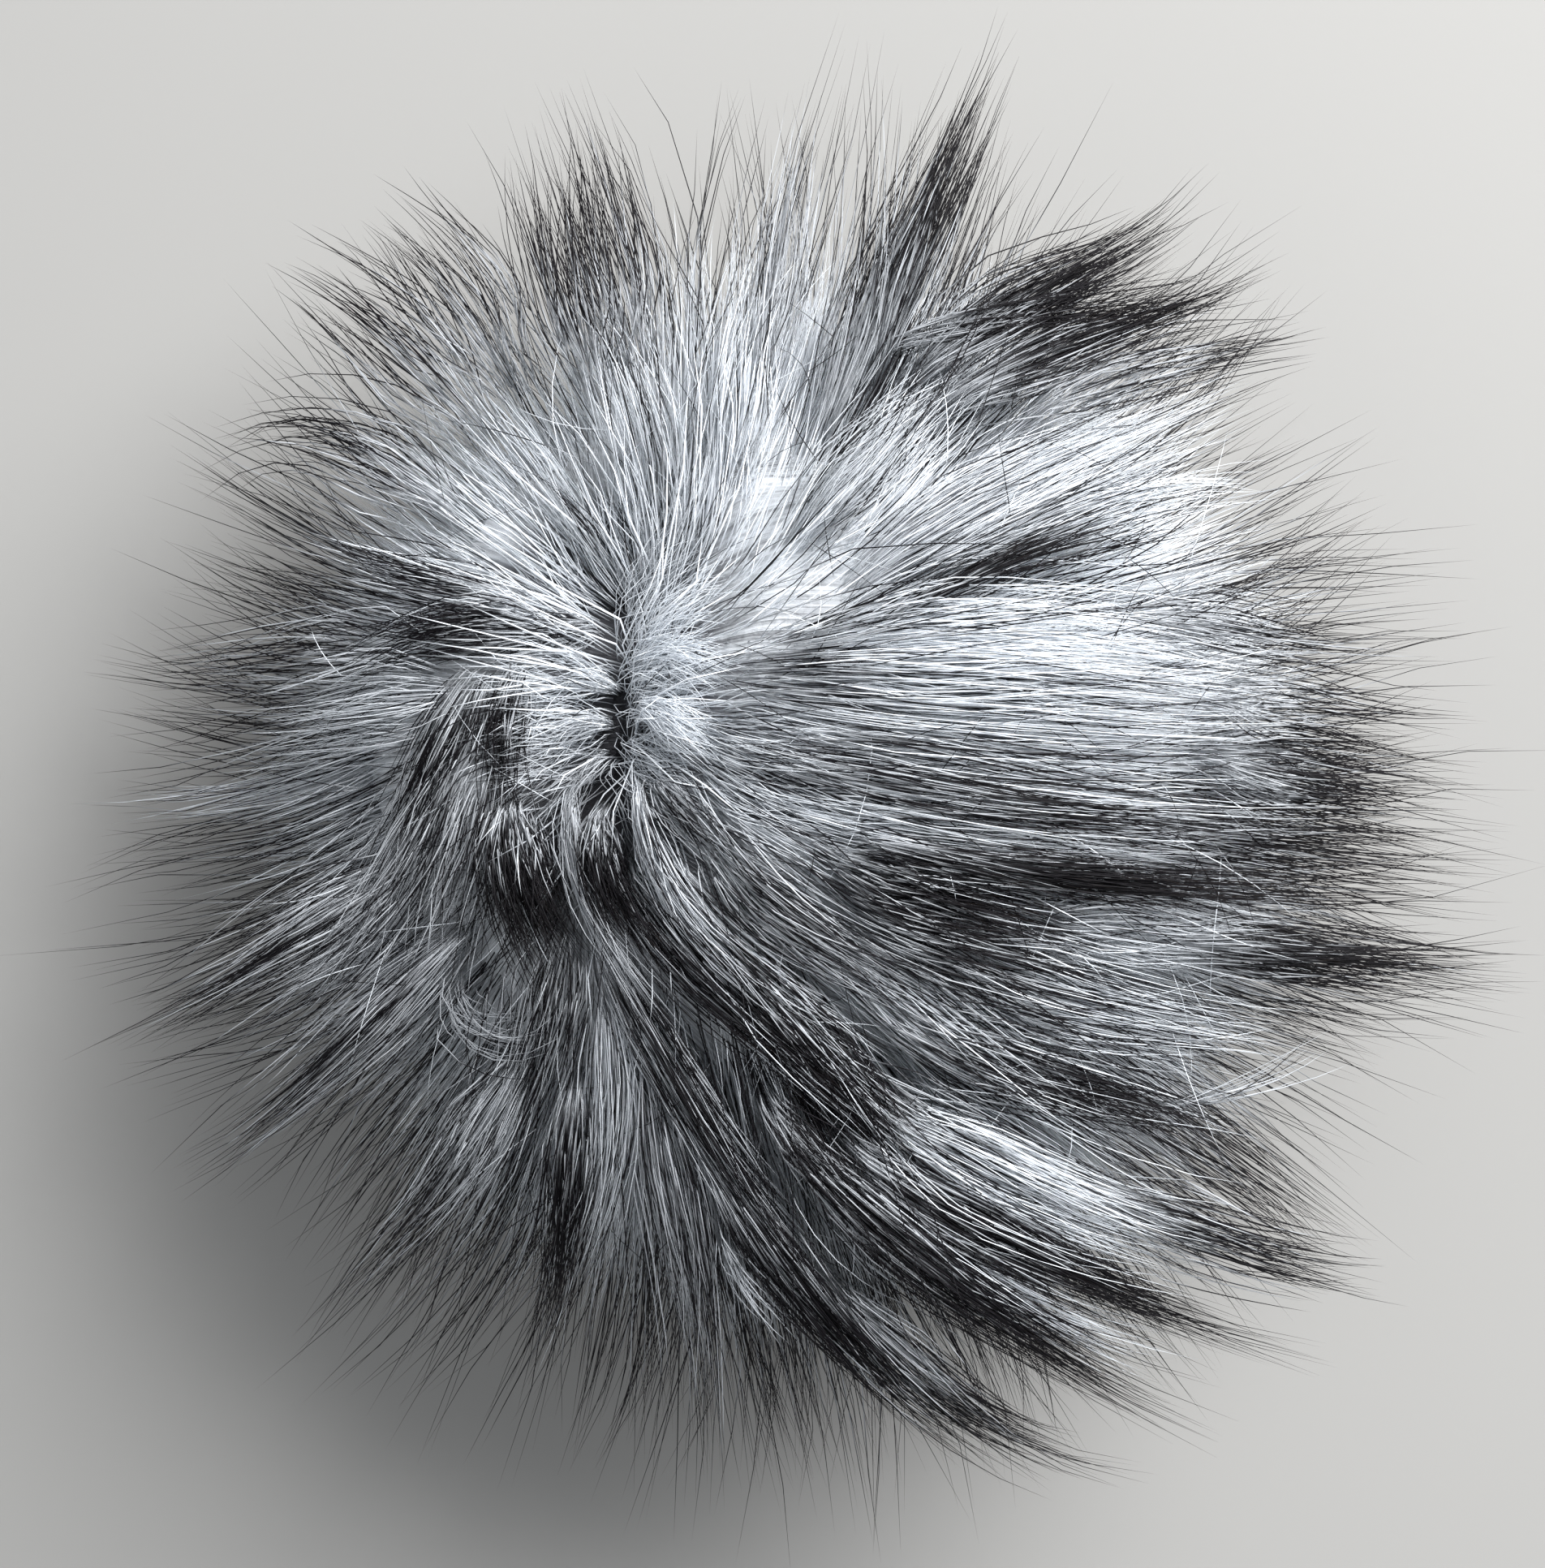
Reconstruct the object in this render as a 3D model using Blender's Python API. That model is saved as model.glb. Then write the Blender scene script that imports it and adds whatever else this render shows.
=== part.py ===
"""A long-pile fur pom pom: a gathered ball of fur pile that lies on a level surface, parted off-centre.

Metres, +Z up. The origin is the centre of the small flat spot on which the ball rests.
The ball is a closed skin of uneven triangular facets. Each facet is drawn out, section by section,
into one tapered lock of pile, so that the locks stand apart and meet only at their roots.
"""

import math

import bmesh
import bpy
import numpy as np

# The ball of gathered backing under the pile.
BALL_RADIUS = 0.030
FLAT_SPOT_RADIUS = 0.011
FLAT_SPOT_POINTS = 9
BALL_POINTS = 140
POINT_JITTER = 0.05
BALL_CENTRE = np.array([0.0, 0.0, math.sqrt(BALL_RADIUS**2 - FLAT_SPOT_RADIUS**2)])

# The pile: its length, and how much longer it is towards the sweep at the lower right.
PILE_LENGTH = 0.054
SWEEP_EXTRA = 0.003
SWEEP_BEARING = math.radians(-55)
LENGTH_JITTER = 0.10
SHORT_PILE_HEIGHT = 0.018
SHORT_PILE_SHARE = 0.30

# How the pile stands on the ball, is combed sideways and sags.
COMB = 0.85
STAND = 0.60
SAG = 0.55
FLOOR_REACH = 0.012
LOW_PILE = (0.020, 0.040)

# The parting from which the pile is combed away: a short line seen from above.
PARTING_ENDS = ((-0.0155, 0.0205), (-0.0170, 0.0010))
PARTING_SOFTNESS = 0.003
# Far out, the pile turns part of the way from the parting's fan to the ball's own.
ROUND_REACH = 0.060
ROUND_SHARE = 0.5
CHART_WEIGHT = 2.2
CHART_SOFTNESS = 0.25

# Each lock is drawn along the lie in small steps; its sections are at shares of its length.
STEPS = 24
LOCK_SECTIONS = (
    # share of the length, width as a share of the room that the lie leaves
    (0.14, 0.74),
    (0.34, 0.70),
    (0.56, 0.58),
    (0.79, 0.34),
    (1.00, 0.03),
)
TRACE_SHARE = 0.6
MOST_WIDENING = 1.35

# The lie of the pile, seen from above, where it turns away from straight out of the parting.
LIE_CHART = (
    # place, x, y, heading in degrees, spread
    ("right band", 0.032, 0.012, 2, 0.016),
    ("right rim", 0.064, 0.008, -4, 0.018),
    ("dark streak", 0.027, 0.028, 19, 0.011),
    ("upper right rim", 0.050, 0.036, 16, 0.013),
    ("pale streak", 0.039, 0.045, 29, 0.011),
    ("upper right", 0.049, 0.056, 36, 0.014),
    ("top right", 0.010, 0.045, 63, 0.014),
    ("top", 0.001, 0.060, 86, 0.016),
    ("top left", -0.032, 0.041, 120, 0.014),
    ("left shoulder", -0.036, 0.023, 166, 0.011),
    ("left fall", -0.040, 0.001, 232, 0.012),
    ("dark patch", -0.029, -0.011, 260, 0.009),
    ("hook", -0.020, -0.011, 287, 0.007),
    ("bend", -0.008, -0.011, 306, 0.009),
    ("sweep", 0.012, -0.023, 320, 0.012),
    ("long sweep", 0.043, -0.044, 324, 0.018),
    ("right fall", 0.032, -0.012, 346, 0.014),
    ("right tip", 0.064, -0.019, 351, 0.015),
    ("bottom fall", -0.007, -0.042, 294, 0.013),
    ("bottom", -0.009, -0.068, 272, 0.016),
    ("bottom right", 0.018, -0.066, 303, 0.014),
    ("lower left", -0.031, -0.045, 250, 0.014),
    ("left", -0.051, -0.026, 222, 0.014),
)

SEED = 7
LEVEL_WITHIN = 1e-6
FUR_COLOUR = (0.55, 0.57, 0.60, 1.0)
FUR_ROUGHNESS = 0.85


def smooth_share(values, start, end):
    share = np.clip((values - start) / (end - start), 0.0, 1.0)
    return share * share * (3.0 - 2.0 * share)


def soft_unit(vectors, softness):
    """Unit vectors, shorter where the vectors are short against the softness."""
    return vectors / (np.linalg.norm(vectors, axis=-1, keepdims=True) + softness)


def nearest_on_parting(spots):
    start, end = np.array(PARTING_ENDS)
    line = end - start
    share = np.clip((spots - start) @ line / (line @ line), 0.0, 1.0)
    return start + share[:, None] * line


def comb_direction(points):
    """The sideways direction of the pile at each point, of length 0 to 1."""
    spots = points[:, :2]
    straight_out = soft_unit(spots, PARTING_SOFTNESS)
    from_parting = soft_unit(spots - nearest_on_parting(spots), PARTING_SOFTNESS)
    far_out = smooth_share(np.linalg.norm(spots, axis=1), 0.0, ROUND_REACH)[:, None]
    upper = from_parting + (straight_out - from_parting) * ROUND_SHARE * far_out
    for _place, x, y, degrees, spread in LIE_CHART:
        heading = np.array([math.cos(math.radians(degrees)), math.sin(math.radians(degrees))])
        nearness = np.exp(-((spots - (x, y)) ** 2).sum(axis=1) / (2.0 * spread**2))
        upper += CHART_WEIGHT * nearness[:, None] * heading
    upper = soft_unit(upper, CHART_SOFTNESS)
    height_share = smooth_share(points[:, 2], *LOW_PILE)[:, None]
    combed = straight_out + (upper - straight_out) * height_share
    return np.column_stack([combed, np.zeros(len(points))])


def lie(points):
    """The unit direction of the pile at each point outside the ball."""
    from_centre = points - BALL_CENTRE
    distance = np.linalg.norm(from_centre, axis=1, keepdims=True)
    reach = np.maximum(0.0, distance[:, 0] - BALL_RADIUS) / PILE_LENGTH
    way = comb_direction(points) * COMB + from_centre / distance * STAND
    way[:, 2] -= SAG * reach
    falling = way[:, 2] < 0.0
    way[falling, 2] *= np.clip(points[falling, 2] / FLOOR_REACH, 0.0, 1.0)
    return soft_unit(way, 0.0)


def trace(starts, lengths):
    """Points along the lie from each start, a step apart: array of step, start, axis."""
    stride = (lengths / STEPS)[:, None]
    points = [starts]
    for _ in range(STEPS):
        half_way = points[-1] + lie(points[-1]) * stride * 0.5
        points.append(points[-1] + lie(half_way) * stride)
    return np.array(points)


def lock_lengths(roots, chance):
    """Full pile, a little uneven, and shorter where it lies under the ball."""
    bearing = np.arctan2(roots[:, 1], roots[:, 0])
    full = PILE_LENGTH + SWEEP_EXTRA * np.cos(bearing - SWEEP_BEARING)
    under = smooth_share(roots[:, 2], 0.0, SHORT_PILE_HEIGHT)
    uneven = 1.0 + LENGTH_JITTER * chance.uniform(-1.0, 1.0, len(roots))
    return full * uneven * (SHORT_PILE_SHARE + (1.0 - SHORT_PILE_SHARE) * under)


def lock_sections(corners, chance):
    """The three corners of each section of each lock: array of section, lock, corner, axis.

    A lock fills a share of the stream that the lie carries from its facet, so locks don't cross.
    """
    roots = corners.mean(axis=1)
    lengths = lock_lengths(roots, chance)
    middle = trace(roots, lengths)
    beside = [trace(roots + (corners[:, i] - roots) * TRACE_SHARE, lengths) for i in range(3)]
    facet_size = np.linalg.norm(corners - roots[:, None], axis=2).mean(axis=1)
    sections = []
    for share, width in LOCK_SECTIONS:
        step = round(share * STEPS)
        offsets = np.stack([path[step] - middle[step] for path in beside], axis=1) / TRACE_SHARE
        size = np.linalg.norm(offsets, axis=2).mean(axis=1)
        room = np.minimum(1.0, MOST_WIDENING * facet_size / size)
        section = middle[step][:, None] + offsets * (width * room)[:, None, None]
        section[:, :, 2] = np.maximum(section[:, :, 2], 0.0)
        sections.append(section)
    return np.array(sections)


def ball_points(chance):
    """Points spread over the ball on a spiral, a little displaced, and a level ring at the flat spot."""
    golden_turn = math.pi * (3.0 - math.sqrt(5.0))
    lowest = -BALL_CENTRE[2] / BALL_RADIUS
    margin = (1.0 - lowest) / BALL_POINTS
    index = np.arange(BALL_POINTS)
    height = 1.0 - (index + 0.5) * (1.0 - lowest - margin) / BALL_POINTS
    level = np.sqrt(1.0 - height**2)
    turn = index * golden_turn
    around = np.column_stack([level * np.cos(turn), level * np.sin(turn), height])
    around = soft_unit(around + chance.uniform(-POINT_JITTER, POINT_JITTER, around.shape), 0.0)
    around[:, 2] = np.maximum(around[:, 2], lowest + margin)
    around = soft_unit(around, 0.0)
    ring_turn = 2.0 * math.pi * np.arange(FLAT_SPOT_POINTS) / FLAT_SPOT_POINTS
    ring = np.column_stack([np.cos(ring_turn), np.sin(ring_turn), np.zeros(FLAT_SPOT_POINTS)])
    return np.concatenate([BALL_CENTRE + BALL_RADIUS * around, FLAT_SPOT_RADIUS * ring])


def make_ball(chance):
    """The closed skin of facets, with the flat spot as one face."""
    ball = bmesh.new()
    for point in ball_points(chance):
        ball.verts.new(point)
    bmesh.ops.convex_hull(ball, input=ball.verts)
    bmesh.ops.recalc_face_normals(ball, faces=ball.faces)
    flat_spot = [
        face for face in ball.faces if all(abs(vert.co.z) < LEVEL_WITHIN for vert in face.verts)
    ]
    bmesh.ops.dissolve_faces(ball, faces=flat_spot)
    return ball


def draw_out_lock(ball, facet, corners, sections):
    """Draws one facet out, section by section, into a tapered lock."""
    for section in sections:
        facet = bmesh.ops.extrude_discrete_faces(ball, faces=[facet])["faces"][0]
        for vert in facet.verts:
            corner = np.linalg.norm(corners - vert.co, axis=1).argmin()
            vert.co = section[corner]
        corners = section


def make_fur_material():
    fur = bpy.data.materials.new("fur")
    fur.use_nodes = True
    shader = fur.node_tree.nodes["Principled BSDF"]
    shader.inputs["Base Color"].default_value = FUR_COLOUR
    shader.inputs["Roughness"].default_value = FUR_ROUGHNESS
    return fur


def make_pom_pom():
    chance = np.random.default_rng(SEED)
    ball = make_ball(chance)
    facets = [face for face in ball.faces if len(face.verts) == 3]
    corners = np.array([[vert.co for vert in facet.verts] for facet in facets])
    sections = lock_sections(corners, chance)
    for index, facet in enumerate(facets):
        draw_out_lock(ball, facet, corners[index], sections[:, index])
    ball.normal_update()
    mesh = bpy.data.meshes.new("pom_pom")
    ball.to_mesh(mesh)
    ball.free()
    mesh.materials.append(make_fur_material())
    pom_pom = bpy.data.objects.new("pom_pom", mesh)
    bpy.context.scene.collection.objects.link(pom_pom)
    return pom_pom


for startup_object in list(bpy.data.objects):
    bpy.data.objects.remove(startup_object)

made = make_pom_pom()
print(len(made.data.polygons), "faces")
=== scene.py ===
# %% [markdown]
# # A long-pile fur pom pom
# A fur pom pom is a round of long-pile fur cloth, gathered by a thread round its rim into a ball.
# What shows is only pile: a dense pale coat, and longer guard hairs with black tips over it.
# The solid model already holds the shape in a few hundred coarse locks. This lesson makes the fine
# coat over the same ball and along the same lie, so that every hair runs where its lock runs.

# %% Load the solid model as a fixed frame
import math

import bmesh
import bpy
import numpy as np
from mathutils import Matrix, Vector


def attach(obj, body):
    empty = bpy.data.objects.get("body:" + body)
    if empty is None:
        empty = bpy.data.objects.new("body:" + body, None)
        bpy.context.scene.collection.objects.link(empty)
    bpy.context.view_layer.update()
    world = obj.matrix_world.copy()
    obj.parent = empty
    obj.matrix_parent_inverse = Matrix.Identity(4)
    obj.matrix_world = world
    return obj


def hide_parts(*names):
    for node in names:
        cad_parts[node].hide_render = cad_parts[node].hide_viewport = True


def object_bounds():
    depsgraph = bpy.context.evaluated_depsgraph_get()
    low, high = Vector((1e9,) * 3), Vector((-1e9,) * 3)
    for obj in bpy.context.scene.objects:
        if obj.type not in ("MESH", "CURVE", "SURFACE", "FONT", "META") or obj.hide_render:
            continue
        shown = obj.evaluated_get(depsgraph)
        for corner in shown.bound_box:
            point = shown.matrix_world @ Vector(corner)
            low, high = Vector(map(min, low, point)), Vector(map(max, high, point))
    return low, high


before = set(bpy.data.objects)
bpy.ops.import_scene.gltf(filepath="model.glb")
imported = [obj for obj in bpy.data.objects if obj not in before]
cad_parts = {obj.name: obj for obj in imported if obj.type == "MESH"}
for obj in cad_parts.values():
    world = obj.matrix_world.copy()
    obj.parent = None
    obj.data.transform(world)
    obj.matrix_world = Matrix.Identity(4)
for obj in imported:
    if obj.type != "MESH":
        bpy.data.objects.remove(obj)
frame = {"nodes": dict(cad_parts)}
SOLID_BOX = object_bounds()
print("the solid model spans", [round(high - low, 4) for low, high in zip(*SOLID_BOX)], "m")

# %% [markdown]
# ## Sizes
# Lengths are in metres. The ball of gathered cloth is 60 mm across and stands on a small flat spot.
# The pile is 54 mm long, which is usual for fur cloth of this kind. It is a little longer towards the
# sweep at the lower right, and short where the ball lies on it.

# %% Name the sizes of the ball and the pile
BALL_RADIUS = 0.030
FLAT_SPOT_RADIUS = 0.011
BALL_CENTRE = np.array([0.0, 0.0, math.sqrt(BALL_RADIUS**2 - FLAT_SPOT_RADIUS**2)])
PILE_LENGTH = 0.054
SWEEP_EXTRA = 0.003
SWEEP_BEARING = math.radians(-55)
SHORT_PILE_HEIGHT = 0.018
SHORT_PILE_SHARE = 0.30
WHOLE_TURN = 2.0 * math.pi
TINY = 1e-9
chance = np.random.default_rng(11)
print("the ball's centre is", round(BALL_CENTRE[2] * 1000, 1), "mm above the table")

# %% [markdown]
# ## The lie of the pile
# Fur lies the way it was last stroked. Seen from above, this coat parts on a short line left of the
# middle, and fans out from there: to the right in one wide sweep, under the parting in a bend that
# turns from downwards to the lower right, and over the left shoulder downwards.
# A lie like this could be drawn hair by hair. A short chart of headings is easier to read: each row
# turns the pile near one place, and a formula blends the rows. The solid model uses the same chart.

# %% Name how the pile is combed, stands and sags
# How far it is combed sideways, stands out of the ball and sags as it reaches out.
COMB = 0.85
STAND = 0.60
SAG = 0.55
# Near the floor it lies level. Below the first height it fans straight out, above the second as charted.
FLOOR_REACH = 0.012
LOW_PILE = (0.020, 0.040)
# On top it is pressed flatter, fully from this share of its length on.
FLATTENED = 0.55
FLAT_FROM = 0.45
# The parting is a short line. The pile beside it rises, and arches over within a share of its length.
PARTING_ENDS = ((-0.0155, 0.0205), (-0.0170, 0.0010))
PARTING_SOFTNESS = 0.001
PARTING_WIDTH = 0.007
PARTING_WEIGHT = 3.0
PARTING_STAND = 0.9
PARTING_ARCH = 0.18
# Far out, the pile turns part of the way from the parting's fan to the ball's own.
ROUND_REACH = 0.060
ROUND_SHARE = 0.5
print("the parting is", round(math.dist(*PARTING_ENDS) * 1000, 1), "mm long")

# %% Chart the lie where it turns away from straight out of the parting
CHART_WEIGHT = 2.2
CHART_SOFTNESS = 0.25
LIE_CHART = (
    # place, x, y, heading in degrees, spread
    ("right band", 0.032, 0.012, 2, 0.016),
    ("right rim", 0.064, 0.008, -4, 0.018),
    ("dark streak", 0.027, 0.028, 19, 0.011),
    ("upper right rim", 0.050, 0.036, 16, 0.013),
    ("pale streak", 0.039, 0.045, 29, 0.011),
    ("upper right", 0.049, 0.056, 36, 0.014),
    ("top right", 0.010, 0.045, 63, 0.014),
    ("top", 0.001, 0.060, 86, 0.016),
    ("top left", -0.032, 0.041, 120, 0.014),
    ("left shoulder", -0.036, 0.023, 166, 0.011),
    ("left fall", -0.040, 0.001, 232, 0.012),
    ("dark patch", -0.029, -0.011, 260, 0.009),
    ("hook", -0.020, -0.011, 287, 0.007),
    ("bend", -0.008, -0.011, 306, 0.009),
    ("sweep", 0.012, -0.023, 320, 0.012),
    ("long sweep", 0.043, -0.044, 324, 0.018),
    ("right fall", 0.032, -0.012, 346, 0.014),
    ("right tip", 0.064, -0.019, 351, 0.015),
    ("bottom fall", -0.007, -0.042, 294, 0.013),
    ("bottom", -0.009, -0.068, 272, 0.016),
    ("bottom right", 0.018, -0.066, 303, 0.014),
    ("lower left", -0.031, -0.045, 250, 0.014),
    ("left", -0.051, -0.026, 222, 0.014),
)
print(len(LIE_CHART), "places on the lie chart")


# %% Blend values and directions
def smooth_share(values, start, end):
    """Runs smoothly from 0 to 1 as the values go from start to end."""
    share = np.clip((values - start) / (end - start), 0.0, 1.0)
    return share * share * (3.0 - 2.0 * share)


def soft_unit(vectors, softness=0.0):
    """Unit vectors, shorter where the vectors are short against the softness."""
    return vectors / (np.linalg.norm(vectors, axis=-1, keepdims=True) + softness)


def nearness(apart, spread):
    """From 1 where nothing is apart to 0 at a few times the spread."""
    return np.exp(-(apart**2).sum(axis=1) / (2.0 * spread**2))


print("a spread away, the nearness is", round(nearness(np.array([[1.0]]), 1.0)[0], 2))


# %% Give the direction of the pile at any point
def nearest_on_parting(spots):
    start, end = np.array(PARTING_ENDS)
    line = end - start
    share = np.clip((spots - start) @ line / (line @ line), 0.0, 1.0)
    return start + share[:, None] * line


def nearness_to_parting(spots):
    return nearness(spots - nearest_on_parting(spots), PARTING_WIDTH)


def comb_direction(points):
    """The sideways direction of the pile at each point, of length 0 to 1."""
    spots = points[:, :2]
    straight_out = soft_unit(spots, PARTING_SOFTNESS)
    from_parting = soft_unit(spots - nearest_on_parting(spots), PARTING_SOFTNESS)
    far_out = smooth_share(np.linalg.norm(spots, axis=1), 0.0, ROUND_REACH)[:, None]
    upper = from_parting + (straight_out - from_parting) * ROUND_SHARE * far_out
    upper += PARTING_WEIGHT * nearness_to_parting(spots)[:, None] * from_parting
    for _place, x, y, degrees, spread in LIE_CHART:
        heading = np.array([math.cos(math.radians(degrees)), math.sin(math.radians(degrees))])
        upper += CHART_WEIGHT * nearness(spots - (x, y), spread)[:, None] * heading
    upper = soft_unit(upper, CHART_SOFTNESS)
    height_share = smooth_share(points[:, 2], *LOW_PILE)[:, None]
    combed = straight_out + (upper - straight_out) * height_share
    return np.column_stack([combed, np.zeros(len(points))])


def lie(points):
    """The unit direction of the pile at each point outside the ball."""
    from_centre = points - BALL_CENTRE
    distance = np.linalg.norm(from_centre, axis=1, keepdims=True)
    reach = np.maximum(0.0, distance[:, 0] - BALL_RADIUS) / PILE_LENGTH
    arch = np.clip(1.0 - reach / PARTING_ARCH, 0.0, 1.0) * nearness_to_parting(points[:, :2])
    arch *= points[:, 2] > LOW_PILE[1]
    flat = 1.0 - FLATTENED * smooth_share(reach, 0.0, FLAT_FROM) * smooth_share(points[:, 2], *LOW_PILE)
    stand = STAND * flat + PARTING_STAND * arch
    way = comb_direction(points) * COMB + from_centre / distance * stand[:, None]
    way[:, 2] -= SAG * reach
    falling = way[:, 2] < 0.0
    way[falling, 2] *= np.clip(points[falling, 2] / FLOOR_REACH, 0.0, 1.0)
    return soft_unit(way, TINY)


print("at the right of the ball the pile points", lie(np.array([[0.031, 0.0, 0.03]])).round(2))


# %% Trace the pile from its roots
def trace(starts, lengths, steps):
    """Points along the lie from each start: array of step, hair, axis."""
    stride = (lengths / steps)[:, None]
    points = [starts]
    for _ in range(steps):
        half_way = points[-1] + lie(points[-1]) * stride * 0.5
        points.append(points[-1] + lie(half_way) * stride)
    return np.array(points)


def pile_length(roots):
    """Full length, a little more towards the sweep, and short where the ball lies on its pile."""
    bearing = np.arctan2(roots[:, 1], roots[:, 0])
    full = PILE_LENGTH + SWEEP_EXTRA * np.cos(bearing - SWEEP_BEARING)
    under = smooth_share(roots[:, 2], 0.0, SHORT_PILE_HEIGHT)
    return full * (SHORT_PILE_SHARE + (1.0 - SHORT_PILE_SHARE) * under)


top = BALL_CENTRE[None] + (0.0, 0.0, BALL_RADIUS)
print("from the top of the ball the pile runs to", trace(top, pile_length(top), 12)[-1].round(3))

# %% [markdown]
# ## Where it is dark
# The guard hairs are dyed black from somewhere along their length to the tip. Stroking gathers them
# in bands: a wide pale band to the right, black streaks above and below it, a black patch left of
# the parting's foot. The chart has one long soft spot for each band.

# %% Chart the dark and pale bands seen from above
TONE_CHART = (
    # place, x, y, heading in degrees, spread along, spread across, tone
    ("right band", 0.030, 0.013, 2, 0.022, 0.0060, -1.5),
    ("right rim", 0.069, 0.001, -5, 0.008, 0.007, 1.0),
    ("streak", 0.025, 0.0255, 19, 0.015, 0.0016, 0.5),
    ("upper right band", 0.035, 0.055, 25, 0.017, 0.004, 1.0),
    ("pale streak", 0.041, 0.044, 27, 0.016, 0.0035, -1.2),
    ("pale rim streak", 0.044, 0.031, 12, 0.013, 0.003, -0.8),
    ("right fall", 0.032, -0.010, -12, 0.016, 0.003, 0.6),
    ("lower right rim", 0.068, -0.021, -6, 0.008, 0.004, 0.9),
    ("lower right lobe", 0.045, -0.022, -15, 0.014, 0.006, -0.9),
    ("black sweep", 0.004, -0.024, -50, 0.017, 0.0035, 1.2),
    ("pale sweep", 0.0155, -0.0205, -38, 0.014, 0.003, -0.8),
    ("long pale sweep", 0.030, -0.043, -37, 0.017, 0.0035, -1.0),
    ("long black sweep", 0.027, -0.052, -35, 0.019, 0.003, 1.1),
    ("inner black sweep", 0.0135, -0.042, -45, 0.012, 0.003, 0.8),
    ("black patch", -0.028, -0.015, -90, 0.009, 0.004, 1.4),
    ("left edge", -0.047, -0.003, -120, 0.008, 0.003, 0.3),
    ("left shoulder", -0.042, 0.021, 172, 0.008, 0.0025, 0.3),
    ("above the parting", -0.009, 0.037, 80, 0.017, 0.013, -0.75),
    ("whole right side", 0.034, -0.006, -5, 0.030, 0.022, 0.05),
    ("whole lower side", 0.010, -0.045, -60, 0.030, 0.022, 0.22),
    ("under the parting", -0.0195, -0.0335, -85, 0.011, 0.003, -0.5),
    ("pale top", 0.002, 0.058, 85, 0.011, 0.004, -1.0),
    ("pale middle", 0.017, 0.036, 50, 0.012, 0.005, -0.3),
    ("left of the parting", -0.029, 0.0165, 180, 0.008, 0.005, 0.5),
    ("pale left top", -0.034, 0.030, 130, 0.014, 0.009, -0.5),
    ("black top left", -0.023, 0.060, 100, 0.008, 0.006, 0.6),
    ("black top right", 0.021, 0.068, 68, 0.011, 0.003, 0.5),
)
# The bands fade in between these heights, and the black tips of the rim between these distances.
CHARTED_ABOVE = (0.022, 0.036)
DARK_RIM = (0.060, 0.076)
print(len(TONE_CHART), "bands on the tone chart")


# %% Say how dark the coat is at any point
def charted_tone(points):
    """How dark the bands make the coat at each point seen from above, from about -1 to 1."""
    tone = np.zeros(len(points))
    for _place, x, y, degrees, along_spread, across_spread, depth in TONE_CHART:
        turn = math.radians(degrees)
        aside = points[:, :2] - (x, y)
        along = aside @ (math.cos(turn), math.sin(turn)) / along_spread
        across = aside @ (-math.sin(turn), math.cos(turn)) / across_spread
        tone += depth * np.exp(-0.5 * (along**2 + across**2))
    return tone * smooth_share(points[:, 2], *CHARTED_ABOVE)


def rim_share(points):
    """From 0 over the coat to 1 where the black tips stand past it."""
    return smooth_share(np.linalg.norm(points[:, :2], axis=1), *DARK_RIM)


print("the black patch has a tone of", charted_tone(np.array([[-0.028, -0.015, 0.05]])).round(2)[0])

# %% [markdown]
# ## Shader maths
# A small class wraps a node's output, so that a formula reads like Python and adds its Math nodes.

# %% Wrap sockets so that a formula builds its nodes
class Wire:
    def __init__(self, nodes, socket=None):
        self.nodes = nodes
        self.socket = socket

    def node(self, kind, settings, inputs, output=0):
        """Adds any node: its settings first, then the values or links of its sockets."""
        made = self.nodes.new(kind)
        for name, value in settings.items():
            setattr(made, name, value)
        for name, value in inputs.items():
            if isinstance(value, Wire):
                self.nodes.id_data.links.new(value.socket, made.inputs[name])
            else:
                made.inputs[name].default_value = value
        return Wire(self.nodes, made.outputs[output])

    def maths(self, operation, first, second):
        return self.node("ShaderNodeMath", {"operation": operation}, {0: first, 1: second})

    def __add__(self, other):
        return self.maths("ADD", self, other)

    __radd__ = __add__

    def __sub__(self, other):
        return self.maths("SUBTRACT", self, other)

    def __rsub__(self, other):
        return self.maths("SUBTRACT", other, self)

    def __mul__(self, other):
        return self.maths("MULTIPLY", self, other)

    __rmul__ = __mul__

    def ramp(self, start, end, low=0.0, high=1.0, shape="SMOOTHSTEP"):
        """Runs from low to high as the value goes from start to end, each a number or a wire."""
        settings = {"interpolation_type": shape, "clamp": True}
        places = {"Value": self, "From Min": start, "From Max": end, "To Min": low, "To Max": high}
        return self.node("ShaderNodeMapRange", settings, places)

    def mix(self, first, second):
        """The first colour where this is 0, the second where it is 1."""
        settings = {"data_type": "RGBA", "clamp_factor": True}
        return self.node("ShaderNodeMix", settings, {0: self, 6: first, 7: second}, output=2)

    def parts(self):
        """The X, Y and Z of a vector."""
        split = self.node("ShaderNodeSeparateXYZ", {}, {"Vector": self}).socket.node
        return [Wire(self.nodes, output) for output in split.outputs]

    def into(self, shader, name):
        """Feeds this into one of the shader's sockets."""
        self.nodes.id_data.links.new(self.socket, shader.inputs[name])


print("shader formulas are ready")

# %% [markdown]
# ## The dye of the hair
# A hair changes colour only along its length, so its material needs two numbers: how far along the
# hair a point is, and which dye the hair has. Both are in the hair's UV map: u is the dye, from white
# at 0 over grey at the middle to black from near the root at 1, and v runs from the root to the tip.

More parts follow.
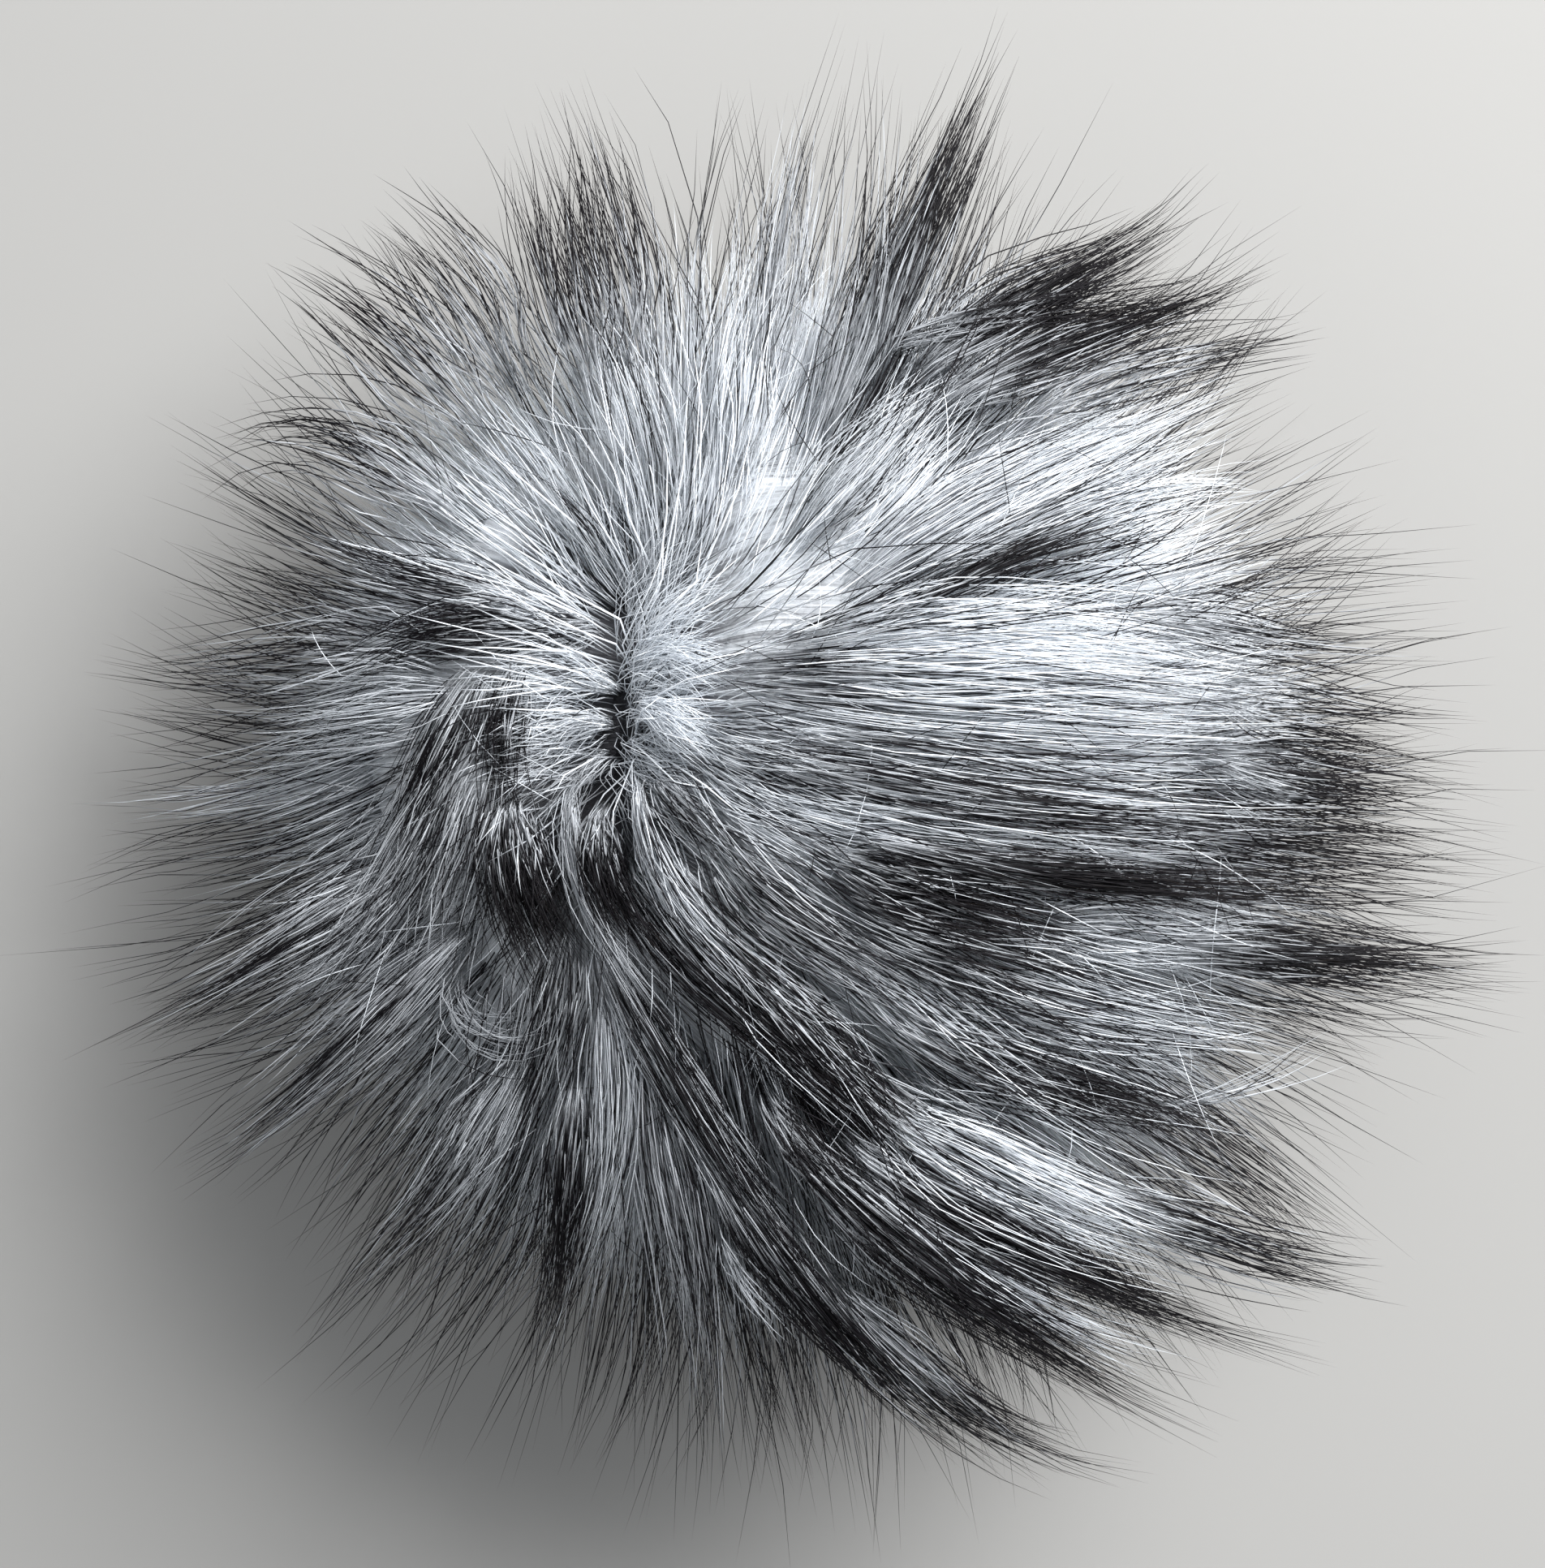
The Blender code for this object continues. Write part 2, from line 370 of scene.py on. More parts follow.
# %% Name the colours and where along the hair they change
WHITE_HAIR = (0.86, 0.90, 0.95, 1.0)
# Grey dyes stand partly for grey hair and partly for painted shade, where rows and tufts lie in shade.
GREY_HAIR_AND_PAINTED_SHADE = (0.47, 0.49, 0.52, 1.0)
ROOT_GREY = (0.58, 0.60, 0.63, 1.0)
BLACK_DYE = (0.007, 0.006, 0.008, 1.0)
BROWN_TIP = (0.045, 0.030, 0.022, 1.0)
GREY_DYE = 0.5
ROOT_END = 0.30
# Where the black starts in a grey hair and in a wholly black one, and over how much of it it fades in.
BLACK_STARTS = (1.02, 0.10)
BLACK_FADE = 0.16
BROWN_START = 0.86
HAIR_ROUGHNESS = 0.55
BLACK_GLOSS = 0.08
HAIR_SPECULAR = 0.16
HAIR_MAP = "OFBake"
print("a white hair has", round(WHITE_HAIR[1] / GREY_HAIR_AND_PAINTED_SHADE[1], 2), "times the brightness of a grey one")


# %% Make the fur material
def start_material(name):
    """A new material, its shader, and a wire that its formulas start from."""
    material = bpy.data.materials.new(name)
    material.use_nodes = True
    nodes = material.node_tree.nodes
    return material, nodes["Principled BSDF"], Wire(nodes)


def make_fur():
    material, shader, start = start_material("fur")
    place = start.node("ShaderNodeUVMap", {"uv_map": HAIR_MAP}, {})
    dye, along, _unused = place.parts()
    pale = dye.ramp(0.0, GREY_DYE).mix(WHITE_HAIR, GREY_HAIR_AND_PAINTED_SHADE)
    pale = along.ramp(0.0, ROOT_END).mix(ROOT_GREY, pale)
    black_start = dye.ramp(GREY_DYE, 1.0, *BLACK_STARTS, shape="LINEAR")
    dyed = along.ramp(black_start, black_start + BLACK_FADE)
    black = along.ramp(BROWN_START, 1.0).mix(BLACK_DYE, BROWN_TIP)
    dyed.mix(pale, black).into(shader, "Base Color")
    (HAIR_ROUGHNESS - BLACK_GLOSS * dyed).into(shader, "Roughness")
    shader.inputs["Specular IOR Level"].default_value = HAIR_SPECULAR
    return material


fur = make_fur()
print("fur has", len(fur.node_tree.nodes), "nodes")

# %% [markdown]
# ## The ball under the pile
# Deep in the parting the gathered backing cloth can be glimpsed, in shade; its dark grey is painted shade
# too. It is a stuffed ball, so a round shape with soft gathers is enough, flat where it rests.

# %% Put finished meshes into the scene
def end_bmesh(shape, name):
    """Turns the bmesh into a mesh of this name."""
    mesh = bpy.data.meshes.new(name)
    shape.to_mesh(mesh)
    shape.free()
    return mesh


def put(name, data):
    """A new object in the scene that shows this mesh, light or camera."""
    made = bpy.data.objects.new(name, data)
    bpy.context.scene.collection.objects.link(made)
    return made


def add_piece(mesh, material):
    """The mesh as a smooth piece that stands for the pom pom and rides on its one body."""
    mesh.shade_smooth()
    mesh.materials.append(material)
    made = put(mesh.name, mesh)
    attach(made, "root")
    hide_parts("pom_pom")
    return made


print("each piece stands for the node", ", ".join(frame["nodes"]))

# %% Make the backing cloth
# The backing's dark greys are painted shade for the depth of the parting; the noise between them is the
# cloth's grain.
BACKING_PAINTED_SHADE = (0.10, 0.10, 0.11, 1.0)
BACKING_GREY = (0.16, 0.16, 0.17, 1.0)
CLOTH_SCALE = 900.0
CLOTH_ROUGHNESS = 0.95


def make_backing_cloth():
    material, shader, start = start_material("backing_cloth")
    place = start.node("ShaderNodeTexCoord", {}, {}, output="Object")
    cloth = start.node("ShaderNodeTexNoise", {}, {"Vector": place, "Scale": CLOTH_SCALE, "Detail": 3.0})
    cloth.ramp(0.3, 0.7).mix(BACKING_PAINTED_SHADE, BACKING_GREY).into(shader, "Base Color")
    bump = start.node("ShaderNodeBump", {}, {"Height": cloth, "Distance": 0.0004, "Strength": 0.6})
    bump.into(shader, "Normal")
    shader.inputs["Roughness"].default_value = CLOTH_ROUGHNESS
    return material


backing_cloth = make_backing_cloth()
print("the backing cloth has", len(backing_cloth.node_tree.nodes), "nodes")

# %% Make the gathered ball
BACKING_CLEARANCE = 0.0006
BACKING_SUBDIVISIONS = 5
BACKING_GATHERS = 14
GATHER_DEPTH = 0.005
GATHER_FADE = 0.02


def make_gathered_ball():
    ball = bmesh.new()
    bmesh.ops.create_icosphere(
        ball, subdivisions=BACKING_SUBDIVISIONS, radius=BALL_RADIUS - BACKING_CLEARANCE
    )
    bmesh.ops.translate(ball, verts=ball.verts, vec=BALL_CENTRE)
    for vert in ball.verts:
        turn = math.atan2(vert.co.y, vert.co.x)
        away_from_axis = min(1.0, vert.co.xy.length / GATHER_FADE)
        fold = 1.0 - GATHER_DEPTH * (1.0 + math.cos(BACKING_GATHERS * turn)) * away_from_axis
        vert.co.xy = vert.co.xy * fold
        vert.co.z = max(vert.co.z, BACKING_CLEARANCE)
    made = add_piece(end_bmesh(ball, "gathered_ball"), backing_cloth)
    return made


gathered_ball = make_gathered_ball()
print("gathered_ball has", len(gathered_ball.data.polygons), "faces")

# %% [markdown]
# ## Locks and strands
# Hair doesn't lie evenly: static and handling gather it into strands, and the strands into locks that
# come to a point. Each lock has one guiding line along the lie, which strays a little on its own.
# Strands start out their own way and join their lock towards the tip, and hairs join their strand.
# Modelling each lock by hand would never give thousands of hairs, and a hair system alone wouldn't
# give this coat's own bands, so the guiding lines come from the lie chart.

# %% Spread roots over the ball
FLAT_SPOT_MARGIN = 0.0008
LOWEST_ROOT = (FLAT_SPOT_MARGIN - BALL_CENTRE[2]) / BALL_RADIUS
LEAST_SEEN_ROOT = -0.15
GOLDEN_HALF_TURNS = 3.0 - math.sqrt(5.0)


def on_ball(height, turn):
    """Points on the ball at heights from -1 to 1 of its radius."""
    level = np.sqrt(1.0 - height**2)
    around = np.column_stack([level * np.cos(turn), level * np.sin(turn), height])
    return BALL_CENTRE + BALL_RADIUS * around


def random_roots(count, lowest, highest=1.0):
    height = chance.uniform(lowest, highest, count)
    return on_ball(height, chance.uniform(0.0, WHOLE_TURN, count))


def even_roots(count, jitter):
    """Roots a like distance apart on a spiral, each a little displaced."""
    index = np.arange(count) + 0.5
    height = 1.0 - index * (1.0 - LOWEST_ROOT) / count
    spiral = on_ball(height, index * math.pi * GOLDEN_HALF_TURNS) - BALL_CENTRE
    moved = soft_unit(spiral / BALL_RADIUS + chance.normal(0.0, jitter, spiral.shape))
    moved[:, 2] = np.maximum(moved[:, 2], LOWEST_ROOT)
    return BALL_CENTRE + BALL_RADIUS * soft_unit(moved)


print("the lowest root is at", round(LOWEST_ROOT, 3), "of the ball's radius")

# %% Find each line's leader
# Lines run together where their roots are near, and so are their places at a share of the pile.
COURSE_SHARE = 0.4
COURSE_WEIGHT = 0.6
COURSE_BLOCK = 2000


def sample(lines, shares):
    """Points at these shares (point, line) of the lines (step, line, axis)."""
    steps = len(lines) - 1
    place = np.clip(shares, 0.0, 1.0) * steps
    low = np.minimum(place.astype(int), steps - 1)
    line = np.arange(lines.shape[1])
    before = lines[low, line]
    return before + (lines[low + 1, line] - before) * (place - low)[..., None]


def course(lines, lengths):
    """What tells which lines run together: the root, and a place further along."""
    shares = np.minimum(1.0, COURSE_SHARE * PILE_LENGTH / lengths)[None]
    return np.concatenate([lines[0], COURSE_WEIGHT * sample(lines, shares)[0]], axis=1)


def nearest_leader(courses, leader_courses):
    """The leader with the nearest course, worked out in blocks to save memory."""
    found = []
    weight = (leader_courses**2).sum(axis=1)
    for block in np.array_split(courses, max(1, len(courses) // COURSE_BLOCK)):
        found.append((weight - 2.0 * block @ leader_courses.T).argmin(axis=1))
    return np.concatenate(found)


print("courses are compared at", round(COURSE_SHARE * PILE_LENGTH * 1000, 1), "mm")

# %% Let lines follow their leader
TIP_CLOSENESS = 0.85
STRAY_POWER = 1.5


def follow(lines, lengths, shares, leaders, chosen, gather, joined=(0.0, 1.0)):
    """Bends the lines towards their leader, more and more between the two shares of joined."""
    leader_shares = shares[:, None] * (lengths / leaders["lengths"][chosen])[None]
    leader_lines = sample(leaders["lines"][:, chosen], leader_shares)
    beside = lines[0] - leaders["lines"][0, chosen]
    kept = 1.0 - TIP_CLOSENESS * shares[:, None, None]
    pulled = smooth_share(shares, *joined)[:, None, None] * gather[:, None]
    return lines + (leader_lines + beside * kept - lines) * pulled


def stray(lines, tip_stray, bend):
    """Lets each line wander: its tip by about tip_stray and its middle by about bend."""
    shares = np.linspace(0.0, 1.0, len(lines))[:, None, None]
    count = lines.shape[1]
    tip = chance.normal(0.0, 1.0, (count, 3)) * tip_stray
    middle = chance.normal(0.0, 1.0, (count, 3)) * bend
    return lines + shares**STRAY_POWER * tip + np.sin(math.pi * shares) * middle


print("at the tip a line is", round((1.0 - TIP_CLOSENESS) * 100), "% as far from its leader as at the root")

# %% Chart the wisps in which the coat ends, seen from above
WISPS = np.array([
    # bearing in degrees, reach
    (0, 1.00), (13, 0.97), (31, 0.93), (38, 0.95), (47, 1.02), (54, 1.02), (65, 1.04),
    (73, 1.10), (81, 1.02), (88, 1.08), (97, 0.98), (107, 1.10), (115, 0.92), (124, 1.03), (134, 1.06),
    (140, 0.92), (149, 1.00), (157, 1.02), (170, 1.00), (182, 1.05), (191, 0.92), (200, 1.08),
    (214, 1.06), (222, 0.92), (230, 1.05), (239, 1.02), (246, 1.06), (253, 1.00), (264, 1.02),
    (276, 1.06), (288, 1.04), (303, 1.06), (312, 1.08), (321, 1.06), (331, 0.92), (339, 0.94),
    (347, 1.08), (354, 0.98),
])
# How far ends turn to their wisp, from which distance, and how much less in the pile from below.
WISP_PULL = 0.85
WISP_RIM = (0.030, 0.060)
WISP_ROOT_HEIGHT = 0.020
LOW_WISP_SHARE = 0.45
print(len(WISPS), "wisps round the rim")


# %% Turn ends to their wisp
def turn_to_wisps(lines):
    """Turns the far ends of the lines towards the nearest wisp, as seen from above."""
    bearings = np.degrees(np.arctan2(lines[-1, :, 1], lines[-1, :, 0]))
    apart = (WISPS[None, :, 0] - bearings[:, None] + 180.0) % 360.0 - 180.0
    wisp = np.abs(apart).argmin(axis=1)
    far_out = smooth_share(np.linalg.norm(lines[-1, :, :2], axis=1), *WISP_RIM)
    from_top = np.where(lines[0, :, 2] > WISP_ROOT_HEIGHT, 1.0, LOW_WISP_SHARE)
    turn = np.radians(apart[np.arange(len(wisp)), wisp]) * WISP_PULL * far_out * from_top
    shares = np.linspace(0.0, 1.0, len(lines))[:, None] ** STRAY_POWER
    cosine, sine = np.cos(turn * shares), np.sin(turn * shares)
    x, y = lines[:, :, 0].copy(), lines[:, :, 1].copy()
    lines[:, :, 0] = x * cosine - y * sine
    lines[:, :, 1] = x * sine + y * cosine
    return lines, wisp, far_out * from_top


print("the longest wisp reaches", WISPS[:, 1].max(), "of the pile")

# %% Lay the guiding lines of the locks
LEADER_STEPS = 20
LONGEST_HAIR = 1.18
LOCKS = 260
lock_roots = even_roots(LOCKS, jitter=0.035)
lock_lengths = pile_length(lock_roots) * LONGEST_HAIR
lock_lines = stray(trace(lock_roots, lock_lengths, LEADER_STEPS), tip_stray=0.0065, bend=0.0022)
lock_lines, lock_wisp, lock_at_rim = turn_to_wisps(lock_lines)
locks = {"lines": lock_lines, "lengths": lock_lengths}
lock_courses = course(lock_lines, lock_lengths)
lock_gather = chance.uniform(0.60, 1.00, LOCKS)
lock_reach = chance.uniform(0.90, 1.06, LOCKS)
lock_reach *= 1.0 + (WISPS[lock_wisp, 1] - 1.0) * lock_at_rim
lock_tones = chance.normal(0.0, 0.25, LOCKS)
print(LOCKS, "locks, up to", round(lock_lengths.max() * 1000, 1), "mm long")

# %% Lay the guiding lines of the strands
STRANDS = 2600
LOCK_JOINED = (0.0, 0.75)
strand_roots = even_roots(STRANDS, jitter=0.020)
strand_lengths = pile_length(strand_roots) * LONGEST_HAIR
strand_lines = trace(strand_roots, strand_lengths, LEADER_STEPS)
strand_lock = nearest_leader(course(strand_lines, strand_lengths), lock_courses)
strand_shares = np.linspace(0.0, 1.0, LEADER_STEPS + 1)
strand_pull = lock_gather[strand_lock]
strand_lines = follow(
    strand_lines, strand_lengths, strand_shares, locks, strand_lock, strand_pull, LOCK_JOINED
)
strand_lines = stray(strand_lines, tip_stray=0.0018, bend=0.0008)
strands = {"lines": strand_lines, "lengths": strand_lengths}
strand_courses = course(strand_lines, strand_lengths)
strand_gather = chance.uniform(0.60, 0.95, STRANDS)
strand_reach = lock_reach[strand_lock] * chance.uniform(0.94, 1.04, STRANDS)
strand_tones = lock_tones[strand_lock] + chance.normal(0.0, 0.30, STRANDS)
print(STRANDS, "strands in", len(np.unique(strand_lock)), "locks")

# %% [markdown]
# ## Hairs
# A hair is a fine three-sided tube that runs to a point. All the hairs of one crop are one mesh,
# filled from arrays, because a mesh operator for each of the tens of thousands of hairs would take
# far too long. The tubes are closed at the root, and smooth shading rounds them.

# %% Put a tube of rings round each line
SIDES = 3


def tube_rings(lines, thickness):
    """The corners round each point of each line but the last: array of point, hair, side, axis."""
    along = soft_unit(np.gradient(lines, axis=0))
    whole = soft_unit(lines[-1] - lines[0])
    wild = chance.normal(size=whole.shape)
    wild = soft_unit(wild - whole * (wild * whole).sum(axis=1, keepdims=True))
    first = soft_unit(np.cross(along, wild))
    second = np.cross(along, first)
    turns = WHOLE_TURN * np.arange(SIDES) / SIDES
    around = first[:, :, None] * np.cos(turns)[:, None] + second[:, :, None] * np.sin(turns)[:, None]
    return lines[:-1, :, None] + around[:-1] * thickness[:, :, None, None]


def hair_faces(hairs, rings):
    """Corner numbers of the root caps, the side quads and the tip triangles, hair by hair."""
    side = np.arange(SIDES)
    after = (side + 1) % SIDES
    quads = [
        np.stack([side, after, after + SIDES, side + SIDES], axis=1) + SIDES * ring
        for ring in range(rings - 1)
    ]
    last = SIDES * (rings - 1)
    tips = np.stack([side + last, after + last, np.full(SIDES, SIDES * rings)], axis=1)
    first_corner = (np.arange(hairs) * (SIDES * rings + 1))[:, None, None]
    return [
        (first_corner + faces).reshape(-1, faces.shape[1])
        for faces in (side[None, ::-1], np.concatenate(quads), tips)
    ]


one_hair = hair_faces(1, 5)
print("a hair of 5 rings has", sum((faces.shape[1] - 2) * len(faces) for faces in one_hair), "triangles")

# %% Fill a mesh and map its hairs
DYE_MARGIN = 0.01
SIDE_APART = 0.004


def fill_mesh(name, corners, loops, sizes):
    """A mesh of corners, and of faces that take their corner numbers from the loops in turn."""
    mesh = bpy.data.meshes.new(name)
    mesh.vertices.add(len(corners))
    mesh.vertices.foreach_set("co", corners.ravel())
    mesh.loops.add(len(loops))
    mesh.loops.foreach_set("vertex_index", loops)
    mesh.polygons.add(len(sizes))
    mesh.polygons.foreach_set("loop_start", np.concatenate([[0], np.cumsum(sizes)[:-1]]))
    mesh.update(calc_edges=True)
    return mesh


def map_hairs(mesh, loops, shares, dyes):
    """Writes each hair's dye and the place along it into the map that the fur reads."""
    rings = len(shares) - 1
    hair, corner = np.divmod(loops, SIDES * rings + 1)
    side = np.append(np.tile(np.arange(SIDES), rings), 1)[corner]
    along = np.append(np.repeat(shares[:-1], SIDES), 1.0)[corner]
    u = np.clip(dyes, DYE_MARGIN, 1.0 - DYE_MARGIN)[hair] + (side - 1) * SIDE_APART
    v = DYE_MARGIN + (1.0 - 2.0 * DYE_MARGIN) * along
    uv_map = mesh.uv_layers.new(name=HAIR_MAP)
    uv_map.data.foreach_set("uv", np.column_stack([u, v]).ravel())


print("the sides of a hair are", SIDE_APART, "apart on its map")

# %% Turn lines into one piece of fine tubes
HAIR_TAPER = ((0.0, 0.15, 0.55, 1.0), (0.75, 1.0, 0.90, 0.30))
FLOOR_CLEARANCE = 0.00005
# Hairs that would run past the solid's box by more than this room are left out.
SIDE_ROOM = 0.0125
FLOOR_ROOM = 0.02
TOP_ROOM = 0.0105
LOWEST_CORNER = np.array(SOLID_BOX[0]) - (SIDE_ROOM, SIDE_ROOM, FLOOR_ROOM)
HIGHEST_CORNER = np.array(SOLID_BOX[1]) + (SIDE_ROOM, SIDE_ROOM, TOP_ROOM)


def make_hairs(name, lines, widest, shares, dyes):
    """One piece of closed tubes along the lines (point, hair, axis); the last point is the tip."""
    inside = ((lines > LOWEST_CORNER) & (lines < HIGHEST_CORNER)).all(axis=(0, 2))
    lines, widest, dyes = lines[:, inside], widest[inside], dyes[inside]
    hairs = lines.shape[1]
    thickness = np.interp(shares[:-1], *HAIR_TAPER)[:, None] * widest[None]
    lines[:, :, 2] = np.maximum(lines[:, :, 2], widest + FLOOR_CLEARANCE)
    corners = tube_rings(lines, thickness).transpose(1, 0, 2, 3).reshape(hairs, -1, 3)
    corners = np.concatenate([corners, lines[-1][:, None]], axis=1).reshape(-1, 3)
    groups = hair_faces(hairs, len(lines) - 1)
    loops = np.concatenate([faces.ravel() for faces in groups])
    sizes = np.concatenate([np.full(len(faces), faces.shape[1]) for faces in groups])
    mesh = fill_mesh(name, corners, loops, sizes)
    map_hairs(mesh, loops, shares, dyes)
    print(name, "has", hairs, "hairs and", (sizes - 2).sum(), "triangles")
    return add_piece(mesh, fur)


print("hairs stay between", LOWEST_CORNER.round(3), "and", HIGHEST_CORNER.round(3))

# %% [markdown]
# ## Short places and growing
# Beside the parting the pile is cut short, so that the stitched foot of the locks shows. A hair could
# be bent by hand or by a particle system. Here each hair is traced along the lie from its own root and
# then drawn towards its strand, because then neighbours part where the locks part.

# %% Chart where the pile is short
SHORT_PLACES = (
    # place, x, y, spread, share of the length that is left out
    ("left of the parting", -0.0235, 0.0040, 0.0060, 0.62),
    ("under the parting", -0.0180, -0.0060, 0.0040, 0.55),
    ("right of the parting", -0.0100, 0.0080, 0.0040, 0.30),
)
LEAST_KEPT = 0.25


def kept_length(roots):
    """The share of the pile's length that is kept at each root."""
    kept = np.ones(len(roots))
    for _place, x, y, spread, left_out in SHORT_PLACES:
        kept -= left_out * nearness(roots[:, :2] - (x, y), spread) * (roots[:, 2] > LOW_PILE[1])
    return np.maximum(kept, LEAST_KEPT)


print(len(SHORT_PLACES), "short places")

# %% Grow hairs along the lie and gather them into their strands
TRACE_STEPS = 12
LIFTED_BETWEEN = (0.10, 0.50)
WAVES = (0.5, 1.2)


def grow(roots, reach, rings, wander, wave, gather=1.0, joined=(0.0, 1.0), lift=0.0):
    """Lines of the hairs from these roots, the shares of their points, and each hair's strand."""
    shares = np.linspace(0.0, 1.0, rings + 1)
    lengths = pile_length(roots) * reach * kept_length(roots)
    own = trace(roots, lengths, TRACE_STEPS)
    strand = nearest_leader(course(own, lengths), strand_courses)
    lengths = lengths * strand_reach[strand]
    own = sample(own, shares[:, None] * strand_reach[strand][None])
    lines = follow(own, lengths, shares, strands, strand, (gather * strand_gather)[strand], joined)
    lifted = lift * smooth_share(shares, *LIFTED_BETWEEN)
    lines += soft_unit(lines - BALL_CENTRE) * lifted[:, None, None]
    count = len(roots)
    away = chance.normal(0.0, 1.0, (count, 3)) * wander
    swing = chance.normal(0.0, 1.0, (count, 3)) * wave
    phase = chance.uniform(0.0, WHOLE_TURN, count)
    turns = chance.uniform(*WAVES, count)
    ripple = np.sin(shares[:, None] * turns * WHOLE_TURN + phase) - np.sin(phase)
    lines = lines + (shares[:, None, None] ** STRAY_POWER) * away + ripple[..., None] * swing
    return lines, shares, strand


print("a hair is traced in", TRACE_STEPS, "steps")

# %% [markdown]
# ## The coat, crop by crop
# The coat is built from the skin outwards: a woolly undercoat that hides the backing, short pale under
# pile that fills it, the pale pile that gives the ball its colour, and the longer guard hairs whose
# black tips stand past it.

# %% [markdown]
# ## The undercoat
# Under the long hair a dense short wool hides the backing. Its hairs are too many and too fine to be
# modelled one by one. So the skin of a ball is drawn out along the lie to a third of the pile, and its
# colour has fine fibres that run the same way. Between the locks it dips, and painted shade darkens it
# there, in the parting and in the gaps between its fibres.

# %% Make the wool of the undercoat
# The wool's dark colour is painted shade for the parting, the borders between locks and the gaps between its
# fibres; the pale colour is the wool's own.
WOOL_PAINTED_SHADE = (0.10, 0.10, 0.11, 1.0)
WOOL_PALE = (0.76, 0.79, 0.83, 1.0)
WOOL_SPECULAR = 0.15
CURL_SCALE = 1400.0
FIBRE_SCALE = 75.0
CURL_WEIGHT = 0.3
FIBRE_WEIGHT = 1.6
WOOL_DARKENING = 1.15
PAINTED_LIGHT_MAP = "painted_light"
WOOL_GRAIN = "wool_grain"


def make_wool():
    material, shader, start = start_material("undercoat_wool")
    place = start.node("ShaderNodeTexCoord", {}, {}, output="Object")
    curls = start.node("ShaderNodeTexNoise", {}, {"Vector": place, "Scale": CURL_SCALE, "Detail": 4.0})
    _crest, painted_light, _unused = start.node("ShaderNodeUVMap", {"uv_map": PAINTED_LIGHT_MAP}, {}).parts()
    grain = start.node("ShaderNodeAttribute", {"attribute_name": WOOL_GRAIN}, {}, output="Vector")
    fibres = start.node("ShaderNodeTexNoise", {}, {"Vector": grain, "Scale": FIBRE_SCALE, "Detail": 5.0})
    relief = CURL_WEIGHT * curls + FIBRE_WEIGHT * fibres
    # The wool goes to the painted shade in the parting, on lock borders and in the gaps between its fibres.
    paleness = (painted_light + relief - WOOL_DARKENING).ramp(0.0, 0.9)
    paleness.mix(WOOL_PAINTED_SHADE, WOOL_PALE).into(shader, "Base Color")
    bump = start.node("ShaderNodeBump", {}, {"Height": relief, "Distance": 0.0006, "Strength": 0.9})
    bump.into(shader, "Normal")
    shader.inputs["Roughness"].default_value = CLOTH_ROUGHNESS
    shader.inputs["Specular IOR Level"].default_value = WOOL_SPECULAR
    return material


wool = make_wool()
print("the wool has", len(wool.node_tree.nodes), "nodes")

# %% Say where the undercoat dips and takes painted shade, and how its grain runs
CREST_WIDTH = 0.8
UNDERCOAT_VALLEY = 0.0030
GRAIN_BESIDE_PARTING = 50.0


def crest_share(courses, leader_courses):
    """From 0 on the border between two locks to 1 along the middle of a lock."""
    apart = ((courses[:, None] - leader_courses[None]) ** 2).sum(axis=2)
    nearest = np.sqrt(np.partition(apart, 1, axis=1)[:, :2])
    return smooth_share((nearest[:, 1] - nearest[:, 0]) / nearest[:, 1], 0.0, CREST_WIDTH)


def valley_share(roots):
    """From 0 in the parting to 1 away from it."""
    from_parting = np.linalg.norm(roots[:, :2] - nearest_on_parting(roots[:, :2]), axis=1)
    share = 1.0 - np.exp(-((from_parting / UNDERCOAT_VALLEY) ** 2) / 2.0)
    return np.where(roots[:, 2] > LOW_PILE[1], share, 1.0)


def grain_places(roots):
    """Places that stay the same along the lie and change across it, so that noise there runs in fibres."""
    foot = nearest_on_parting(roots[:, :2])
    heading = soft_unit(roots[:, :2] - foot, TINY)
    return np.column_stack([heading, GRAIN_BESIDE_PARTING * foot[:, 1]])


print("the valley of the parting is", UNDERCOAT_VALLEY * 2000, "mm wide")

# %% Draw the woolly undercoat out of the ball as one shell
UNDERCOAT_SUBDIVISIONS = 6
UNDERCOAT_REACH = 0.36
UNDERCOAT_STEPS = 8
UNDERCOAT_GATHER = 0.15
UNDERCOAT_LOWEST = 0.0004
UNDERCOAT_SMOOTHING = 4
# How much less the wool reaches, and how much painted shade darkens it, on the border between two locks.
BORDER_DIP = 0.10
BORDER_PAINTED_SHADE = 0.25


def wool_tips(roots, valley):
    """Where the wool over each root ends, and how near that is to the middle of a lock."""
    full = pile_length(roots)
    own = trace(roots, full, UNDERCOAT_STEPS)
    courses = course(own, full)
    crest = crest_share(courses, lock_courses)
    lock = nearest_leader(courses, lock_courses)
    reach = UNDERCOAT_REACH * valley * (1.0 - BORDER_DIP + BORDER_DIP * crest) * lock_reach[lock]
    shares = np.linspace(0.0, 1.0, UNDERCOAT_STEPS + 1)
    lines = sample(own, shares[:, None] * reach[None])
    pull = UNDERCOAT_GATHER * lock_gather[lock]
    tips = follow(lines, full * reach, shares, locks, lock, pull)[-1]
    tips[:, 2] = np.maximum(tips[:, 2], UNDERCOAT_LOWEST)
    return tips, crest


print("the wool reaches", round(UNDERCOAT_REACH * PILE_LENGTH * 1000, 1), "mm out of the ball")


